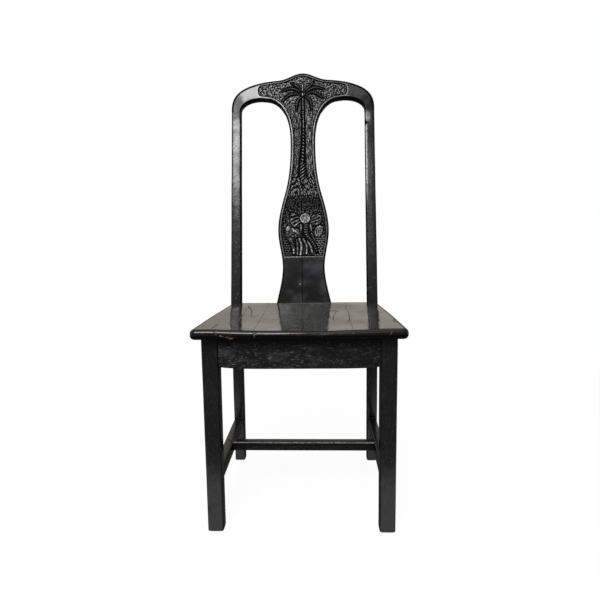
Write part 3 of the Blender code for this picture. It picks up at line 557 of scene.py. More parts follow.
def screw_steel():
    """Old screws: grey steel with a brown bloom of rust."""
    material, wire = new_material("screw_steel")
    rust = cloud(wire, 420, 5).rise(0.45, 0.62)
    colour = rust.between(STEEL, RUST)
    roughness = 0.30 + rust * 0.4
    metal = 1 - rust * 0.8
    finish_with(wire, coat_of(wire, colour, roughness, rust, RUST_BUMP, RUST_DEPTH, Metallic=metal))
    return material


FINISHES["stained_block"] = stained_block()
FINISHES["screw_steel"] = screw_steel()
print("finishes:", ", ".join(FINISHES))

# %% [markdown]
# ## From arrays to pieces
# Each piece below is a grid of points worked out with numpy. What turns a grid into a solid is
# always the same: quads between neighbouring points, faces that close the ends, and a test that
# the whole encloses a positive volume, which tells whether the faces point outwards.


# %% Mesh helpers
def quads(index):
    """Faces between neighbouring rows and columns of a grid of vertex numbers."""
    corners = (index[:-1, :-1], index[:-1, 1:], index[1:, 1:], index[1:, :-1])
    return np.stack(corners, axis=-1).reshape(-1, 4)


def cap(ring):
    """Quads that cross a flat ring from one half of it to the other."""
    half = len(ring) // 2
    return quads(np.stack([ring[:half], ring[::-1][:half]], axis=1))


def tube(shape):
    """Faces of a row of rings: the wall, closed all round, and a flat cap on both ends."""
    index = np.arange(shape[0] * shape[1]).reshape(shape)
    wall = quads(np.concatenate([index, index[:, :1]], axis=1))
    return np.concatenate([wall, cap(index[0]), cap(index[-1])[:, ::-1]])


def volume(points, faces):
    """Signed volume in closed quads: the sum of their tetrahedra to the origin."""
    a, b, c, d = (points[faces[:, i]] for i in range(4))
    return (a * (np.cross(b, c) + np.cross(c, d))).sum() / 6


def add_piece(name, points, faces, slot, nodes, crease, **marks):
    """Makes an object from points in metres, quads and marks, and stands it in for solids."""
    points = points.reshape(-1, 3)
    if volume(points, faces) < 0:
        faces = faces[:, ::-1]
    mesh = bpy.data.meshes.new(name)
    mesh.from_pydata(points.tolist(), [], faces.tolist())
    for label, values in marks.items():
        layer = mesh.attributes.new(label, "FLOAT", "POINT")
        layer.data.foreach_set("value", values.astype(np.float32).ravel())
    mesh.shade_smooth()
    mesh.set_sharp_from_angle(angle=math.radians(crease))
    mesh.materials.append(FINISHES[slot])
    piece = bpy.data.objects.new(name, mesh)
    bpy.context.scene.collection.objects.link(piece)
    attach(piece, "root")
    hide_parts(*nodes)
    print(f"{name}: {len(faces)} faces, {volume(points, faces) / CM3:.0f} cm3")


print("mesh helpers ready")

# %% [markdown]
# ### Curves for handwork
# A few small formulas come back in every piece: slow waves for a hand's unevenness, a smooth
# step from one state to another, a bell for anything that fades to both sides, and the drop of
# a rounded edge. Writing them once keeps the pieces' own formulas short.

# %% Curves for handwork
WAVE_COUNT = 4
WAVE_LENGTHS = (0.6, 1.7)        # as shares of the size that is asked for


def waves(place, size, seed):
    """Unevenness of handwork, from -1 to 1: four sine waves of unlike length and heading."""
    rng = np.random.default_rng(seed)
    total = 0
    for _ in range(WAVE_COUNT):
        heading = rng.normal(size=place.shape[-1])
        heading = heading / np.linalg.norm(heading)
        length = size * rng.uniform(*WAVE_LENGTHS)
        total = total + np.sin(place @ heading * 2 * math.pi / length + rng.uniform(0, 2 * math.pi))
    return total / WAVE_COUNT


def smooth_step(low, high, value):
    """0 below low, 1 above high, and 3t2 - 2t3 between them."""
    share = np.clip((value - low) / (high - low), 0, 1)
    return share * share * (3 - 2 * share)


def bell(offset, half):
    """A bell curve: e to the power of -(offset / half)2, so 1 in its middle."""
    return np.exp(-((offset / half) ** 2))


def rolled(distance, radius):
    """Drop of a quarter round edge: radius - sqrt(radius2 - (radius - distance)2)."""
    inside = np.clip(radius - distance, 0, radius)
    return radius - np.sqrt(radius**2 - inside**2)


print("curves ready")

# %% [markdown]
# ## Legs, posts, rails and stretchers
# Every straight member was sawn square, planed by hand and rounded a little on its arrises. A
# cube with a Bevel would be too true. Here a rounded square is carried along a line, its size
# wavers by tenths of a millimetre, and knocks are pressed into its corners.


# %% A rounded square
def rounded_square(steps=6, flats=6):
    """Round a square: the corner that a point belongs to, and its direction on the arc."""
    arc = np.linspace(0, math.pi / 2, steps + 1)
    flat = np.linspace(1, -1, flats + 1)[1:-1]
    ones = np.ones_like
    side = np.concatenate([
        np.stack([ones(arc), ones(arc), np.cos(arc), np.sin(arc)], axis=1),
        np.stack([flat, ones(flat), 0 * flat, ones(flat)], axis=1),
    ])
    sides = [side]
    for _ in range(3):
        x, y, c, s = sides[-1].T
        sides.append(np.stack([-y, x, -s, c], axis=1))
    return np.concatenate(sides)


SECTION = rounded_square()
print("section points:", len(SECTION))

# %% [markdown]
# ### A hand-planed bar
# The section is carried along a line of centres, so a bar can be straight, tapered or bent. What
# makes it handwork is added in the section's own plane: faces crowned by the plane, a slow waver,
# and a few knocks at the corners. Each bar has its own seed, so that no two are alike.

# %% A hand-planed bar
ARRIS = 4.0                      # radius on the members' edges
PLANE_WAVER = 0.22               # how far a planed face wanders
CROWN = 0.35                     # how much lower a face lies at its edges than in its middle
WAVER_LENGTH = 170.0
WAVER_ACROSS = 3.0               # how much shorter it is across a member than along it
KNOCKS = 7                       # dents along one member's corners
KNOCK_HALF, KNOCK_DEPTH = (1.5, 5.0), (0.2, 0.7)
KNOCK_SHARPNESS = 10             # how closely a knock keeps to its corner


def bar(centre, across, behind, width, depth, seed, nicks=()):
    """A rounded square carried along a line of centres, in millimetres.

    Across the section a point lies at corner * (size / 2 - radius) + radius * direction. The
    faces waver with slow waves, and each knock presses one corner in by a bell curve. It gives
    the points, the faces, how near an arris each point is, and which way each point faces.
    """
    corner_x, corner_y, c, s = SECTION.T
    width, depth = (np.broadcast_to(size, len(centre))[:, None] for size in (width, depth))
    x = corner_x * (width / 2 - ARRIS) + (ARRIS - CROWN * corner_y**2) * c
    y = corner_y * (depth / 2 - ARRIS) + (ARRIS - CROWN * corner_x**2) * s
    steps = np.linalg.norm(np.diff(centre, axis=0), axis=1)
    run = np.concatenate([[0], np.cumsum(steps)])
    rng = np.random.default_rng(seed)
    knocks = zip(
        rng.uniform(0, run[-1], KNOCKS), rng.integers(0, 4, KNOCKS),
        rng.uniform(*KNOCK_HALF, KNOCKS), rng.uniform(*KNOCK_DEPTH, KNOCKS),
    )
    for at, turn, half, deep in (*knocks, *nicks):
        angle = (turn + 0.5) * math.pi / 2
        near = np.clip(c * math.cos(angle) + s * math.sin(angle), 0, 1) ** KNOCK_SHARPNESS
        dent = deep * bell(run - at, half)[:, None] * near
        x = x - dent * math.cos(angle)
        y = y - dent * math.sin(angle)
    along = np.broadcast_to(run[:, None], x.shape)
    place = np.stack([along, WAVER_ACROSS * x, WAVER_ACROSS * y], axis=-1)
    x = x + PLANE_WAVER * waves(place, WAVER_LENGTH, seed + 1)
    y = y + PLANE_WAVER * waves(place, WAVER_LENGTH, seed + 2)
    across, behind = across[:, None, :], behind[:, None, :]
    points = centre[:, None, :] + x[..., None] * across + y[..., None] * behind
    rub = np.broadcast_to(np.abs(2 * c * s), x.shape)
    outward = c[:, None] * across + s[:, None] * behind
    return points * MM, tube(x.shape), rub, outward


print("a bar has", KNOCKS, "knocks and wavers by", PLANE_WAVER, "mm")

# %% [markdown]
# ### Polish, and bars that lie level
# A chair is polished where it is seen: fronts and tops get most, backs and outer sides some, inner
# sides and undersides none. The same mark darkens the colour there as painted shade. Every point
# of a bar knows which way it faces, so the mark for it is a level for each of those ways. Rails and
# stretchers lie level, and share one function.

# %% Polish, and bars that lie level
OUTSIDE = 0.25                   # how matt backs and outer sides are
BESIDE = 0.95                    # and inner sides and undersides, which nobody polished and which are darkened as painted shade
FACING = (0.80, 0.97)            # how squarely a face looks some way, from hardly to fully
BAR_CREASE = 40                  # degrees past which an edge is sharp
ACROSS, BEHIND, UP = np.eye(3)


def unpolished(outward, front, top, side=0):
    """Mark "matt", which also paints shade: a level for each way that a face may look, most on inner
    sides and below.
    """
    levels = (
        (-outward[..., 1], front), (outward[..., 2], top),
        (outward[..., 1], OUTSIDE), (outward[..., 0] * side, OUTSIDE),
    )
    return BESIDE + sum((level - BESIDE) * smooth_step(*FACING, way) for way, level in levels)


def level_bar(start, stop, width, height, seed, rings):
    """A bar between two points at one level: centres at equal steps, its height along UP."""
    start, stop = np.array(start), np.array(stop)
    share = np.linspace(0, 1, rings)[:, None]
    along = (stop - start) / np.linalg.norm(stop - start)
    centre = start + (stop - start) * share
    ones = np.ones((rings, 1))
    return bar(centre, np.cross(UP, along) * ones, UP * ones, width, height, seed)


print("unpolished faces are matt to", BESIDE, "and outer ones to", OUTSIDE)

# %% [markdown]
# ### Front legs
# The front legs are square, a little thinner at the foot, and stand under the seat's corners. A
# scaled cube could give the taper, but the foot's edge was eased as well, so that it doesn't
# splinter when the chair is dragged. For that the bar's first rings follow a quarter circle.

# %% Front legs
FOOT_ROUND = 4.0
LEG_TAPER = 1.5                  # a leg's foot is this much smaller than its top
LEG_RINGS = 100
LEG_SEED = 20
LEG_DUST = 0.05
LEG_MATT = (0.34, 0.40)          # in front and on top, here and for the other members
LEFT_RIGHT = ((-1, "left"), (1, "right"))
FOOT_STEPS = FOOT_ROUND * (1 - np.cos(np.linspace(0, math.pi / 2, 7)[:-1]))


def box_mm(node):
    """A node's lowest and highest corner, in millimetres."""
    return [np.array(corner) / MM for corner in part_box(node)]


for side, label in LEFT_RIGHT:
    low, high = box_mm(f"front_leg_{label}")
    middle = (low + high) / 2
    size = high[0] - low[0]
    heights = np.concatenate([FOOT_STEPS, np.linspace(FOOT_ROUND, high[2], LEG_RINGS)])
    thick = np.interp(heights, [0, high[2]], [size - LEG_TAPER, size])
    thick = thick - 2 * rolled(heights, FOOT_ROUND)
    centre = np.stack([0 * heights + middle[0], 0 * heights + middle[1], heights], axis=1)
    ones = np.ones((len(heights), 1))
    points, faces, rub, outward = bar(
        centre, ACROSS * ones, BEHIND * ones, thick, thick, LEG_SEED + side
    )
    add_piece(
        f"leg_{label}", points, faces, "black_lacquer", [f"front_leg_{label}"], BAR_CREASE,
        rub=rub, dull=LEG_DUST + 0 * rub, upright=1 + 0 * rub,
        matt=unpolished(outward, *LEG_MATT, side),
    )

# %% [markdown]
# ## Rear posts
# A post is one length of wood from the floor to the crest: upright below the seat, then bent
# into the back's rake. Two bars would show a kink, so the line of centres is worked out in one
# go as a straight run, an arc and a second straight run.

# %% A post's line
RAKE = math.radians(9.3)
BEND = 15.0                      # half the length over which a post turns
CREST_JOINT = 531.5              # up the back from the seat
JOINT_GAP = 0.3
SEAT_TOP = box_mm("seat_board_1")[1][2]
POST_FACE = box_mm("rear_post_right")[0][1]
POST_OUTER = box_mm("rear_post_right")[1][0]

bend_radius = BEND / math.tan(RAKE / 2)
arc_run = bend_radius * RAKE
upright_run = SEAT_TOP - BEND
raked_run = CREST_JOINT - JOINT_GAP - BEND
whole_run = upright_run + arc_run + raked_run


def post_line(run):
    """Lean, y and z of a post's front face at a run along it: straight, arc, straight."""
    lean = RAKE * np.clip((run - upright_run) / arc_run, 0, 1)
    beyond = np.maximum(run - upright_run - arc_run, 0)
    y = bend_radius * (1 - np.cos(lean)) + beyond * math.sin(RAKE)
    z = np.minimum(run, upright_run) + bend_radius * np.sin(lean) + beyond * math.cos(RAKE)
    return lean, POST_FACE + y, z


print(f"post: {upright_run:.0f} mm upright, {arc_run:.0f} mm bent, {raked_run:.0f} mm raked")

# %% [markdown]
# ### Wear and painted light on the posts
# The posts are polished above the seat and left dry below it. The seat's edge has chafed a thin
# line round them. The right one has a painted highlight along its inner corner, a patch of painted
# sheen under the crest and a deep nick, whose shadow is painted black. Each mark is a function of
# the run along the post and of how far in from its middle a point lies, which is easier to place
# than a painted mask.

# %% Wear and painted light on the posts
POST_MATT = (0.40, 0.40)
POST_DUST = 0.06
POLISH_FROM = 10.0               # how far below the seat's top the polish begins
JOINT_LINE = (1.6, 0.4)          # how far below the crest its dark joint line begins and is full
CHAFE_ABOVE, CHAFE_HALF, CHAFE_BARE = 2.0, 0.9, 0.6
HIGHLIGHT_IN, HIGHLIGHT_HALF = 11.0, 1.9         # where the painted highlight on the inner corner lies across the post
HIGHLIGHT_RUN = (270.0, 190.0)      # and how far below the crest it begins and is full
# A patch of painted sheen under the crest of the right post.
PATCH_BELOW, PATCH_HALF, SHEEN_PATCH_GREY = 20.0, 12.0, 0.55
PATCH_INNER = (-5.0, 4.0)        # the patch fades out on the post's outer half
# The nick is a dent, and its colour is darkened to dry black as its painted shadow.
NICK_BELOW_CREST = 36.0
NICK = (2, 3.2, 3.0)             # its corner, half length and depth
NICK_SLANT, NICK_TAIL, NICK_CLEAR = 0.55, 1.0, 6.0
POST_GRIP = (0.0, 42.0)          # how far below the crest hands have tired the polish

nick_at = whole_run - NICK_BELOW_CREST


def post_wear(side, run, inwards, outward):
    """The marks of a post: bells and smooth steps of the run, of how far in and of the facing."""
    right = side > 0
    above = smooth_step(SEAT_TOP - POLISH_FROM, SEAT_TOP, run)
    in_front = smooth_step(0.6, 0.9, -outward[..., 1])
    by_seat = smooth_step(0, 0.3, np.maximum(-outward[..., 0] * side, -outward[..., 1]))
    joint = smooth_step(whole_run - JOINT_LINE[0], whole_run - JOINT_LINE[1], run)
    nicked = smooth_step(0, 1.5, (inwards + NICK_TAIL) * NICK_SLANT - np.abs(run - nick_at))
    highlight_reach = smooth_step(whole_run - HIGHLIGHT_RUN[0], whole_run - HIGHLIGHT_RUN[1], run)
    highlight_reach = highlight_reach * (run < nick_at - NICK_CLEAR)
    # Painted highlight along the right post's inner corner, and a patch of painted sheen under the
    # crest.
    corner = bell(inwards - HIGHLIGHT_IN, HIGHLIGHT_HALF) * in_front * highlight_reach
    sheen_patch = bell(run - whole_run + PATCH_BELOW, PATCH_HALF) * smooth_step(*PATCH_INNER, inwards)
    sheen_patch = SHEEN_PATCH_GREY * (sheen_patch * (1 - nicked)) * in_front
    matt = unpolished(outward, *POST_MATT, side) * (1 - above)
    matt = matt + unpolished(outward, 0, 0, side) * above
    return {
        # The nick is painted dry black as its shadow, on the right post only.
        "matt": np.clip(np.maximum(matt, joint + nicked * right), 0, 1),
        "bare": CHAFE_BARE * (bell(run - SEAT_TOP - CHAFE_ABOVE, CHAFE_HALF) * by_seat),
        "pale": np.maximum(corner, sheen_patch) * right,
        "dull": POST_DUST * (1 - above) + 0 * inwards,
        "upright": 1 + 0 * inwards,
        "tired": 1 - smooth_step(*POST_GRIP, whole_run - run) + 0 * inwards,
    }


print(f"nick on the right post at {nick_at:.0f} of {whole_run:.0f} mm")

# %% [markdown]
# ### Both posts
# Line and wear are ready, so a post is a bar along that line. It thins towards the crest, leans
# in a little, and its depth ends as the crest's. The two are mirror images except for their
# seed, the nick and the rubbed corner, so one loop makes both.

# %% Posts
POST_WIDTH, POST_TOP_WIDTH = 28.5, 26.5
POST_FOOT_DEPTH, POST_DEPTH, CREST_THICKNESS = 32.0, 34.0, 25.0
POST_LEAN_IN = 4.0
POST_RINGS = 440
POST_SEED = 40

for side, label in LEFT_RIGHT:
    run = np.concatenate([FOOT_STEPS, np.linspace(FOOT_ROUND, whole_run, POST_RINGS)])
    lean, face_y, face_z = post_line(run)
    turns = [upright_run, whole_run]
    width = np.interp(run, turns, [POST_WIDTH, POST_TOP_WIDTH])
    depth = np.interp(run, [0, *turns], [POST_FOOT_DEPTH, POST_DEPTH, CREST_THICKNESS])
    outer = np.interp(run, turns, [POST_OUTER, POST_OUTER - POST_LEAN_IN])
    behind = np.stack([0 * run, np.cos(lean), -np.sin(lean)], axis=1)
    centre = np.stack([side * (outer - width / 2), face_y, face_z], axis=1)
    centre = centre + behind * depth[:, None] / 2
    foot = 2 * rolled(run, FOOT_ROUND)
    nicks = [(nick_at, *NICK)] if side > 0 else []
    points, faces, rub, outward = bar(
        centre, ACROSS * np.ones((len(run), 1)), behind, width - foot, depth - foot,
        POST_SEED + side, nicks,
    )
    inwards = centre[:, None, 0] * side - points[..., 0] / MM * side
    add_piece(
        f"post_{label}", points, faces, "black_lacquer", [f"rear_post_{label}"], BAR_CREASE,
        rub=rub, **post_wear(side, run[:, None], inwards, outward),
    )

# %% [markdown]
# ## Rails and stretchers
# Four rails carry the seat and an H of stretchers ties the legs near the floor. The front rail,
# or apron, was left rough under the lacquer and its lower edge lifts a little at the ends. Each
# member starts and stops just inside its neighbour, as a tenon does.

# %% Front and rear rails
TENON = 3.0                      # how far a member runs into its neighbour here
APRON_LIFT = 4.0
APRON_LIFT_POWER = 6
APRON_RINGS, APRON_SEED = 140, 60
APRON_MATT = (0.58, 0.50)
APRON_GREYING = (0.95, 0.65, 0.35)  # how much the grey flecks show at its left end, in the middle and at its right end
APRON_SHADE = (4.0, 16.0)        # painted shade under the seat: how far below it the flecks begin and are full
REAR_RINGS, REAR_SEED = 90, 61
REAR_MATT = (0.8, 0.8)
RAIL_DUST = 0.2

rail_low, rail_high = box_mm("front_rail")
apron_half = box_mm("front_leg_right")[0][0]
across = np.linspace(-apron_half - TENON, apron_half + TENON, APRON_RINGS)
lift = APRON_LIFT * np.minimum(np.abs(across / apron_half), 1) ** APRON_LIFT_POWER
apron_height = rail_high[2] - rail_low[2] - lift
apron_y = (rail_low[1] + rail_high[1]) / 2
centre = np.stack([across, 0 * across + apron_y, rail_high[2] - apron_height / 2], axis=1)
ones = np.ones((len(across), 1))
points, faces, rub, outward = bar(
    centre, BEHIND * ones, UP * ones, rail_high[1] - rail_low[1], apron_height, APRON_SEED
)
# Painted shade: the flecks fade out towards the apron's top, under the seat, and lessen from left to
# right.
dull = smooth_step(*APRON_SHADE, rail_high[2] - points[..., 2] / MM)
dull = dull * np.interp(points[..., 0] / MM, [-apron_half, 0, apron_half], APRON_GREYING)
add_piece(
    "apron", points, faces, "black_lacquer", ["front_rail"], BAR_CREASE,
    rub=rub, dull=dull, matt=unpolished(outward, *APRON_MATT),
)

rail_low, rail_high = box_mm("rear_rail")
rail_half = POST_OUTER - POST_WIDTH + TENON
rail_y, rail_z = ((rail_low + rail_high) / 2)[1:]
points, faces, rub, outward = level_bar(
    (-rail_half, rail_y, rail_z), (rail_half, rail_y, rail_z),
    rail_high[1] - rail_low[1], rail_high[2] - rail_low[2], REAR_SEED, REAR_RINGS,
)
add_piece(
    "rail_rear", points, faces, "black_lacquer", ["rear_rail"], BAR_CREASE,
    rub=rub, dull=RAIL_DUST + 0 * rub, matt=unpolished(outward, *REAR_MATT),
)

# %% [markdown]
# ### Side members
# The side rails and the side stretchers run back from the front legs to the posts and draw
# together a little, as the seat does. They differ only in size and dust, so one loop makes all
# four. Where a post has worked loose on one, its top is chafed to the wood.

# %% Side rails and side stretchers
STRETCHER_WIDTH = 24.0
STRETCHER_DUST = 0.1
SIDE_KINDS = (                   # kind, width, dust and seed
    ("rail", 18.0, RAIL_DUST, 70), ("stretcher", STRETCHER_WIDTH, STRETCHER_DUST, 80),
)
SIDE_RINGS = 160
SIDE_MATT = (0.6, 0.45)
POST_CHAFE, POST_CHAFE_HALF = 1.0, 2.5     # how far in front of a post a member is chafed

leg_low, leg_high = box_mm("front_leg_right")
leg_middle = (leg_low + leg_high) / 2
post_middle = POST_OUTER - POST_WIDTH / 2
for side, label in LEFT_RIGHT:
    for kind, width, dust, seed in SIDE_KINDS:
        low, high = box_mm(f"side_{kind}_{label}")
        level = (low[2] + high[2]) / 2
        points, faces, rub, outward = level_bar(
            (side * leg_middle[0], leg_high[1] - TENON, level),
            (side * post_middle, POST_FACE + TENON, level),
            width, high[2] - low[2], seed + side, SIDE_RINGS,
        )
        from_post = POST_FACE - points[..., 1] / MM
        chafed = bell(from_post - POST_CHAFE, POST_CHAFE_HALF) * smooth_step(*FACING, outward[..., 2])
        add_piece(
            f"{kind}_{label}", points, faces, "black_lacquer", [f"side_{kind}_{label}"], BAR_CREASE,
            rub=rub, dull=dust + 0 * rub, matt=unpolished(outward, *SIDE_MATT, side),
            bare=CHAFE_BARE * chafed,
        )

# %% [markdown]
# ### Cross stretcher
# One bar ties the side stretchers together half way back. Its front upper arris carries a
# painted highlight, a light grey line. That line is a bell round the one direction, forwards and up,
# in which the arris looks, so it follows the rounding wherever the bar wavers.

# %% Cross stretcher
CROSS_RINGS, CROSS_SEED = 90, 90
CROSS_MATT = (0.85, 0.60)
# Which way the painted highlight on the arris faces, how narrow it is and how grey.
ARRIS_FACING, ARRIS_HALF, ARRIS_HIGHLIGHT = 1.41, 0.08, 0.90

low, high = box_mm("cross_stretcher")
cross_half = leg_middle[0] - STRETCHER_WIDTH / 2 + TENON
cross_y, cross_z = ((low + high) / 2)[1:]
points, faces, rub, outward = level_bar(
    (-cross_half, cross_y, cross_z), (cross_half, cross_y, cross_z),
    high[1] - low[1], high[2] - low[2], CROSS_SEED, CROSS_RINGS,
)
arris_highlight = bell(outward[..., 2] - outward[..., 1] - ARRIS_FACING, ARRIS_HALF)
add_piece(
    "stretcher_cross", points, faces, "black_lacquer", ["cross_stretcher"], BAR_CREASE,
    rub=rub, dull=STRETCHER_DUST + 0 * rub, matt=unpolished(outward, *CROSS_MATT),
    pale=ARRIS_HIGHLIGHT * arris_highlight,
)

# %% [markdown]
# ## Seat boards
# Six boards are glued edge to edge, hollowed as one and rounded along the front and sides. The
# seams have opened to dark lines and drying has split the boards here and there. Each board is
# two sheets over one plan: the upper one sinks into the hollow and rolls over the nosing, the
# lower one is flat, and a rim joins them.


# %% Sheets over a plan
def slab(upper, lower):
    """A solid between two sheets of points over one grid, joined by a rim round the grid."""
    rows, columns = upper.shape[:2]
    index = np.arange(rows * columns).reshape(rows, columns)
    rim = np.concatenate([index[0, :-1], index[:-1, -1], index[-1, :0:-1], index[:0:-1, 0]])
    rim = np.append(rim, rim[0])
    below = rows * columns
    faces = np.concatenate([
        quads(index),
        quads(index)[:, ::-1] + below,
        quads(np.stack([rim + below, rim], axis=1)),
    ])
    return np.concatenate([upper.reshape(-1, 3), lower.reshape(-1, 3)]), faces


def plan(left, right, left_steps, right_steps, spacing):
    """Points on the lines that join two borders, closer together near the borders."""
    reach = np.linalg.norm(right - left, axis=1)[:, None]
    near = left_steps / reach
    far = 1 - right_steps[::-1] / reach
    inner = np.linspace(0, 1, int(reach.max() / spacing))[1:-1]
    share = np.concatenate([near, near[:, -1:] + (far[:, :1] - near[:, -1:]) * inner, far], axis=1)
    grid = left[:, None, :] + (right - left)[:, None, :] * share[..., None]
    return grid, share * reach, (1 - share) * reach


def over_under(upper, lower):
    """Marks for the upper sheet and for the lower one, in the order of a slab's points."""
    return np.concatenate([upper.ravel(), lower.ravel()])


print("sheets ready")

# %% [markdown]
# ### Drawn lines
# Splits in the seat and forms in the carving follow lines. A Blender curve could be converted,
# but what is needed is not the line, it is how far each point of a grid lies from it and how far
# along. So a line is a few knots, smoothed, and one function measures all points against it.


# %% Drawn lines
def curve(*knots, steps=8):
    """A smooth line through knots: cubic steps whose slope follows each knot's neighbours."""
    knots = np.array(knots, float)
    if len(knots) == 2:
        return knots
    slope = np.gradient(knots, axis=0)
    t = np.linspace(0, 1, steps, endpoint=False)[:, None]
    spans = [
        (1 + 2 * t) * (1 - t) ** 2 * a + t * (1 - t) ** 2 * m
        + t * t * (3 - 2 * t) * b + t * t * (t - 1) * n
        for a, b, m, n in zip(knots, knots[1:], slope, slope[1:])
    ]
    return np.concatenate([*spans, knots[-1:]])


def follow(u, v, line):
    """For each point the nearest place on a line: its share of the length and the signed gap."""
    step = np.diff(line, axis=0)
    length = np.linalg.norm(step, axis=1)
    passed = np.concatenate([[0], np.cumsum(length)])
    best = np.full(np.shape(u), np.inf)
    share, gap = np.zeros_like(best), np.zeros_like(best)
    for (u0, v0), (du, dv), size, before in zip(line, step, length, passed):
        along = np.clip(((u - u0) * du + (v - v0) * dv) / size**2, 0, 1)
        off_u, off_v = u - u0 - along * du, v - v0 - along * dv
        far = np.hypot(off_u, off_v)
        closer = far < best
        best = np.where(closer, far, best)
        share = np.where(closer, (before + along * size) / passed[-1], share)
        gap = np.where(closer, np.copysign(far, du * off_v - dv * off_u), gap)
    return share, gap


print("drawn lines ready")

# %% [markdown]
# ### The seat's plan and hollow
# The seat is wider in front than behind, its front corners are round and its top is dished. The
# boards were hollowed after they were glued, so plan and hollow belong to the whole seat and
# each board later takes its share of them.

# %% The seat's plan and hollow
FRONT_HALF, REAR_HALF = 223.0, 202.5
SEAT_DEPTH, SEAT_THICKNESS = 414.0, 21.5
CORNER = 12.0
NOSING = 9.0
SIDE_BOW = 2.0
POST_LAP = 20.0
NOTCH_Y = SEAT_DEPTH - POST_LAP - JOINT_GAP
NOTCH_X = POST_OUTER - POST_WIDTH - JOINT_GAP
HOLLOW = 6.0
HOLLOW_HALF = 190.0
HOLLOW_CENTRE = 190.0
HOLLOW_REAR, HOLLOW_FRONT = 195.0, 260.0
HOLLOW_SQUARENESS = 3.4
FRONT_DIP, FRONT_DIP_AT = 2.0, 45.0
FRONT_DIP_HALF, FRONT_DIP_BACK = 42.0, 45.0
SEAT_FRONT_Y = box_mm("seat_board_3")[0][1]


def side_edge(y):
    """Half the seat's width: a straight taper from front to rear with a slight swell."""
    share = (y - CORNER) / (NOTCH_Y - CORNER)
    return FRONT_HALF + (REAR_HALF - FRONT_HALF) * share + SIDE_BOW * np.sin(math.pi * share)


def edge_distance(x, y):
    """Distance in from the front and side edges, measured round the corners' arcs."""
    x = np.abs(x)
    corner_x = FRONT_HALF - CORNER
    arc = CORNER - np.hypot(x - corner_x, y - CORNER)
    straight = np.minimum(y, side_edge(np.maximum(y, CORNER)) - x)
    return np.where((x > corner_x) & (y < CORNER), arc, straight)


def hollow(x, y):
    """Depth of the seat's dish: a paraboloid over a squared oval, and a worn dip in front."""
    reach = np.where(y > HOLLOW_CENTRE, HOLLOW_REAR, HOLLOW_FRONT)
    power = HOLLOW_SQUARENESS
    far = np.abs(x / HOLLOW_HALF) ** power + np.abs((y - HOLLOW_CENTRE) / reach) ** power
    dip = FRONT_DIP * bell(x - FRONT_DIP_AT, FRONT_DIP_HALF) * np.exp(-y / FRONT_DIP_BACK)
    return HOLLOW * np.clip(1 - far ** (2 / power), 0, 1) + dip


print("seat:", 2 * FRONT_HALF, "x", SEAT_DEPTH, "mm, hollow", HOLLOW, "mm")

# %% [markdown]
# ### Seams and splits
# The glue lines run from front to back, not quite straight, because each board was planed to fit
# its neighbour. Drying has split the boards between them: long cracks with the grain on top, and
# short ones round the nosing, where a flake has come off too. All are lines with a bell across.

# %% Seams and splits
SEAM_ARRIS = 0.5                 # rounding where two boards meet
SEAM_GAP = 0.03
SEAM_WANDER, SEAM_WANDER_LENGTH, SEAM_SEED = 0.9, 160.0, 100
SEAM_FRONT = (-138.0, -92.0, 1.0, 48.0, 111.0)
SEAM_REAR = (-146.0, -97.0, 3.0, 51.0, 112.0)
SPLIT_HALF = 0.75
SPLIT_DEPTH = 0.5
SPLIT_END = 0.35                 # how much of a split is left at its ends
SPLIT_STRETCH = 6.0              # a split wanders less across the grain than its drawing does
TOP_SPLITS = (                   # across and behind the front edge
    ((-150, 358), (-131, 289), (-117, 191)),
    ((51, 173), (58, 240), (72, 334)),
    ((65, 282), (80, 284), (92, 276)),
    ((86, 281), (75, 195), (76, 119)),
    ((114, 266), (113, 170), (105, 108)),
    ((207, 125), (206, 95), (208, 67)),
    ((-177, 78), (-176, 45), (-180, 20)),
)
FRONT_SPLITS = (                 # across and below the seat's top, on the nosing
    ((-174, 1), (-165, 10), (-150, 14), (-124, 16)),
    ((-92, 11), (-88, 7), (-84, 3)),
    ((-89, 4), (-88, 18)),
    ((187, 4), (184, 13)),
    ((-150, 14), (-141, 19), (-132, 16)),
)
FLAKE_PLACE, FLAKE_HALF = (-138.0, 17.5), (5.5, 1.0)   # where the nosing has lost a flake


def seam(number, y):
    """x of a glue line: straight from front to rear, with a slight wander."""
    line = SEAM_FRONT[number] + (SEAM_REAR[number] - SEAM_FRONT[number]) * y / SEAT_DEPTH
    return line + SEAM_WANDER * waves(y[:, None], SEAM_WANDER_LENGTH, SEAM_SEED + number)


def split_marks(across, along, lines, stretch):
    """1 on a split and 0 away from it, fading as a bell curve across it and towards its ends."""
    found = 0
    for knots in lines:
        line = curve(*knots) / (1, stretch)
        share, gap = follow(across, along / stretch, line)
        fade = SPLIT_END + (1 - SPLIT_END) * np.sin(math.pi * share) ** 0.5
        found = np.maximum(found, bell(gap, SPLIT_HALF) * fade)
    return found


print("splits:", len(TOP_SPLITS), "on top,", len(FRONT_SPLITS), "in front")

# %% [markdown]
# ### Borders of the boards
# A board's plan lies between two borders. The inner boards have a glue line on both sides. The
# two outer ones have the seat's outline on one side, with the corner's arc and the notch round
# the post, and their rows fan out to meet it. Rows lie close together where the nosing rolls.

# %% Borders of the boards
NOSING_ROWS, SEAT_ROWS = 14, 150
CORNER_ROWS, SIDE_ROWS, NOTCH_ROWS, TONGUE_ROWS = 16, 140, 9, 7
FAN = 0.97                       # how far back a row starts at the seam for one at the outline
NOTCH_FAN = 0.35                 # and where the notch's rows end, as a share of the post's lap

arris_steps = SEAM_ARRIS * np.linspace(0, 1, 5)
nosing_steps = NOSING * (1 - np.cos(np.linspace(0, math.pi / 2, NOSING_ROWS)))
straight_rows = np.concatenate([nosing_steps, np.linspace(NOSING, SEAT_DEPTH, SEAT_ROWS)[1:]])


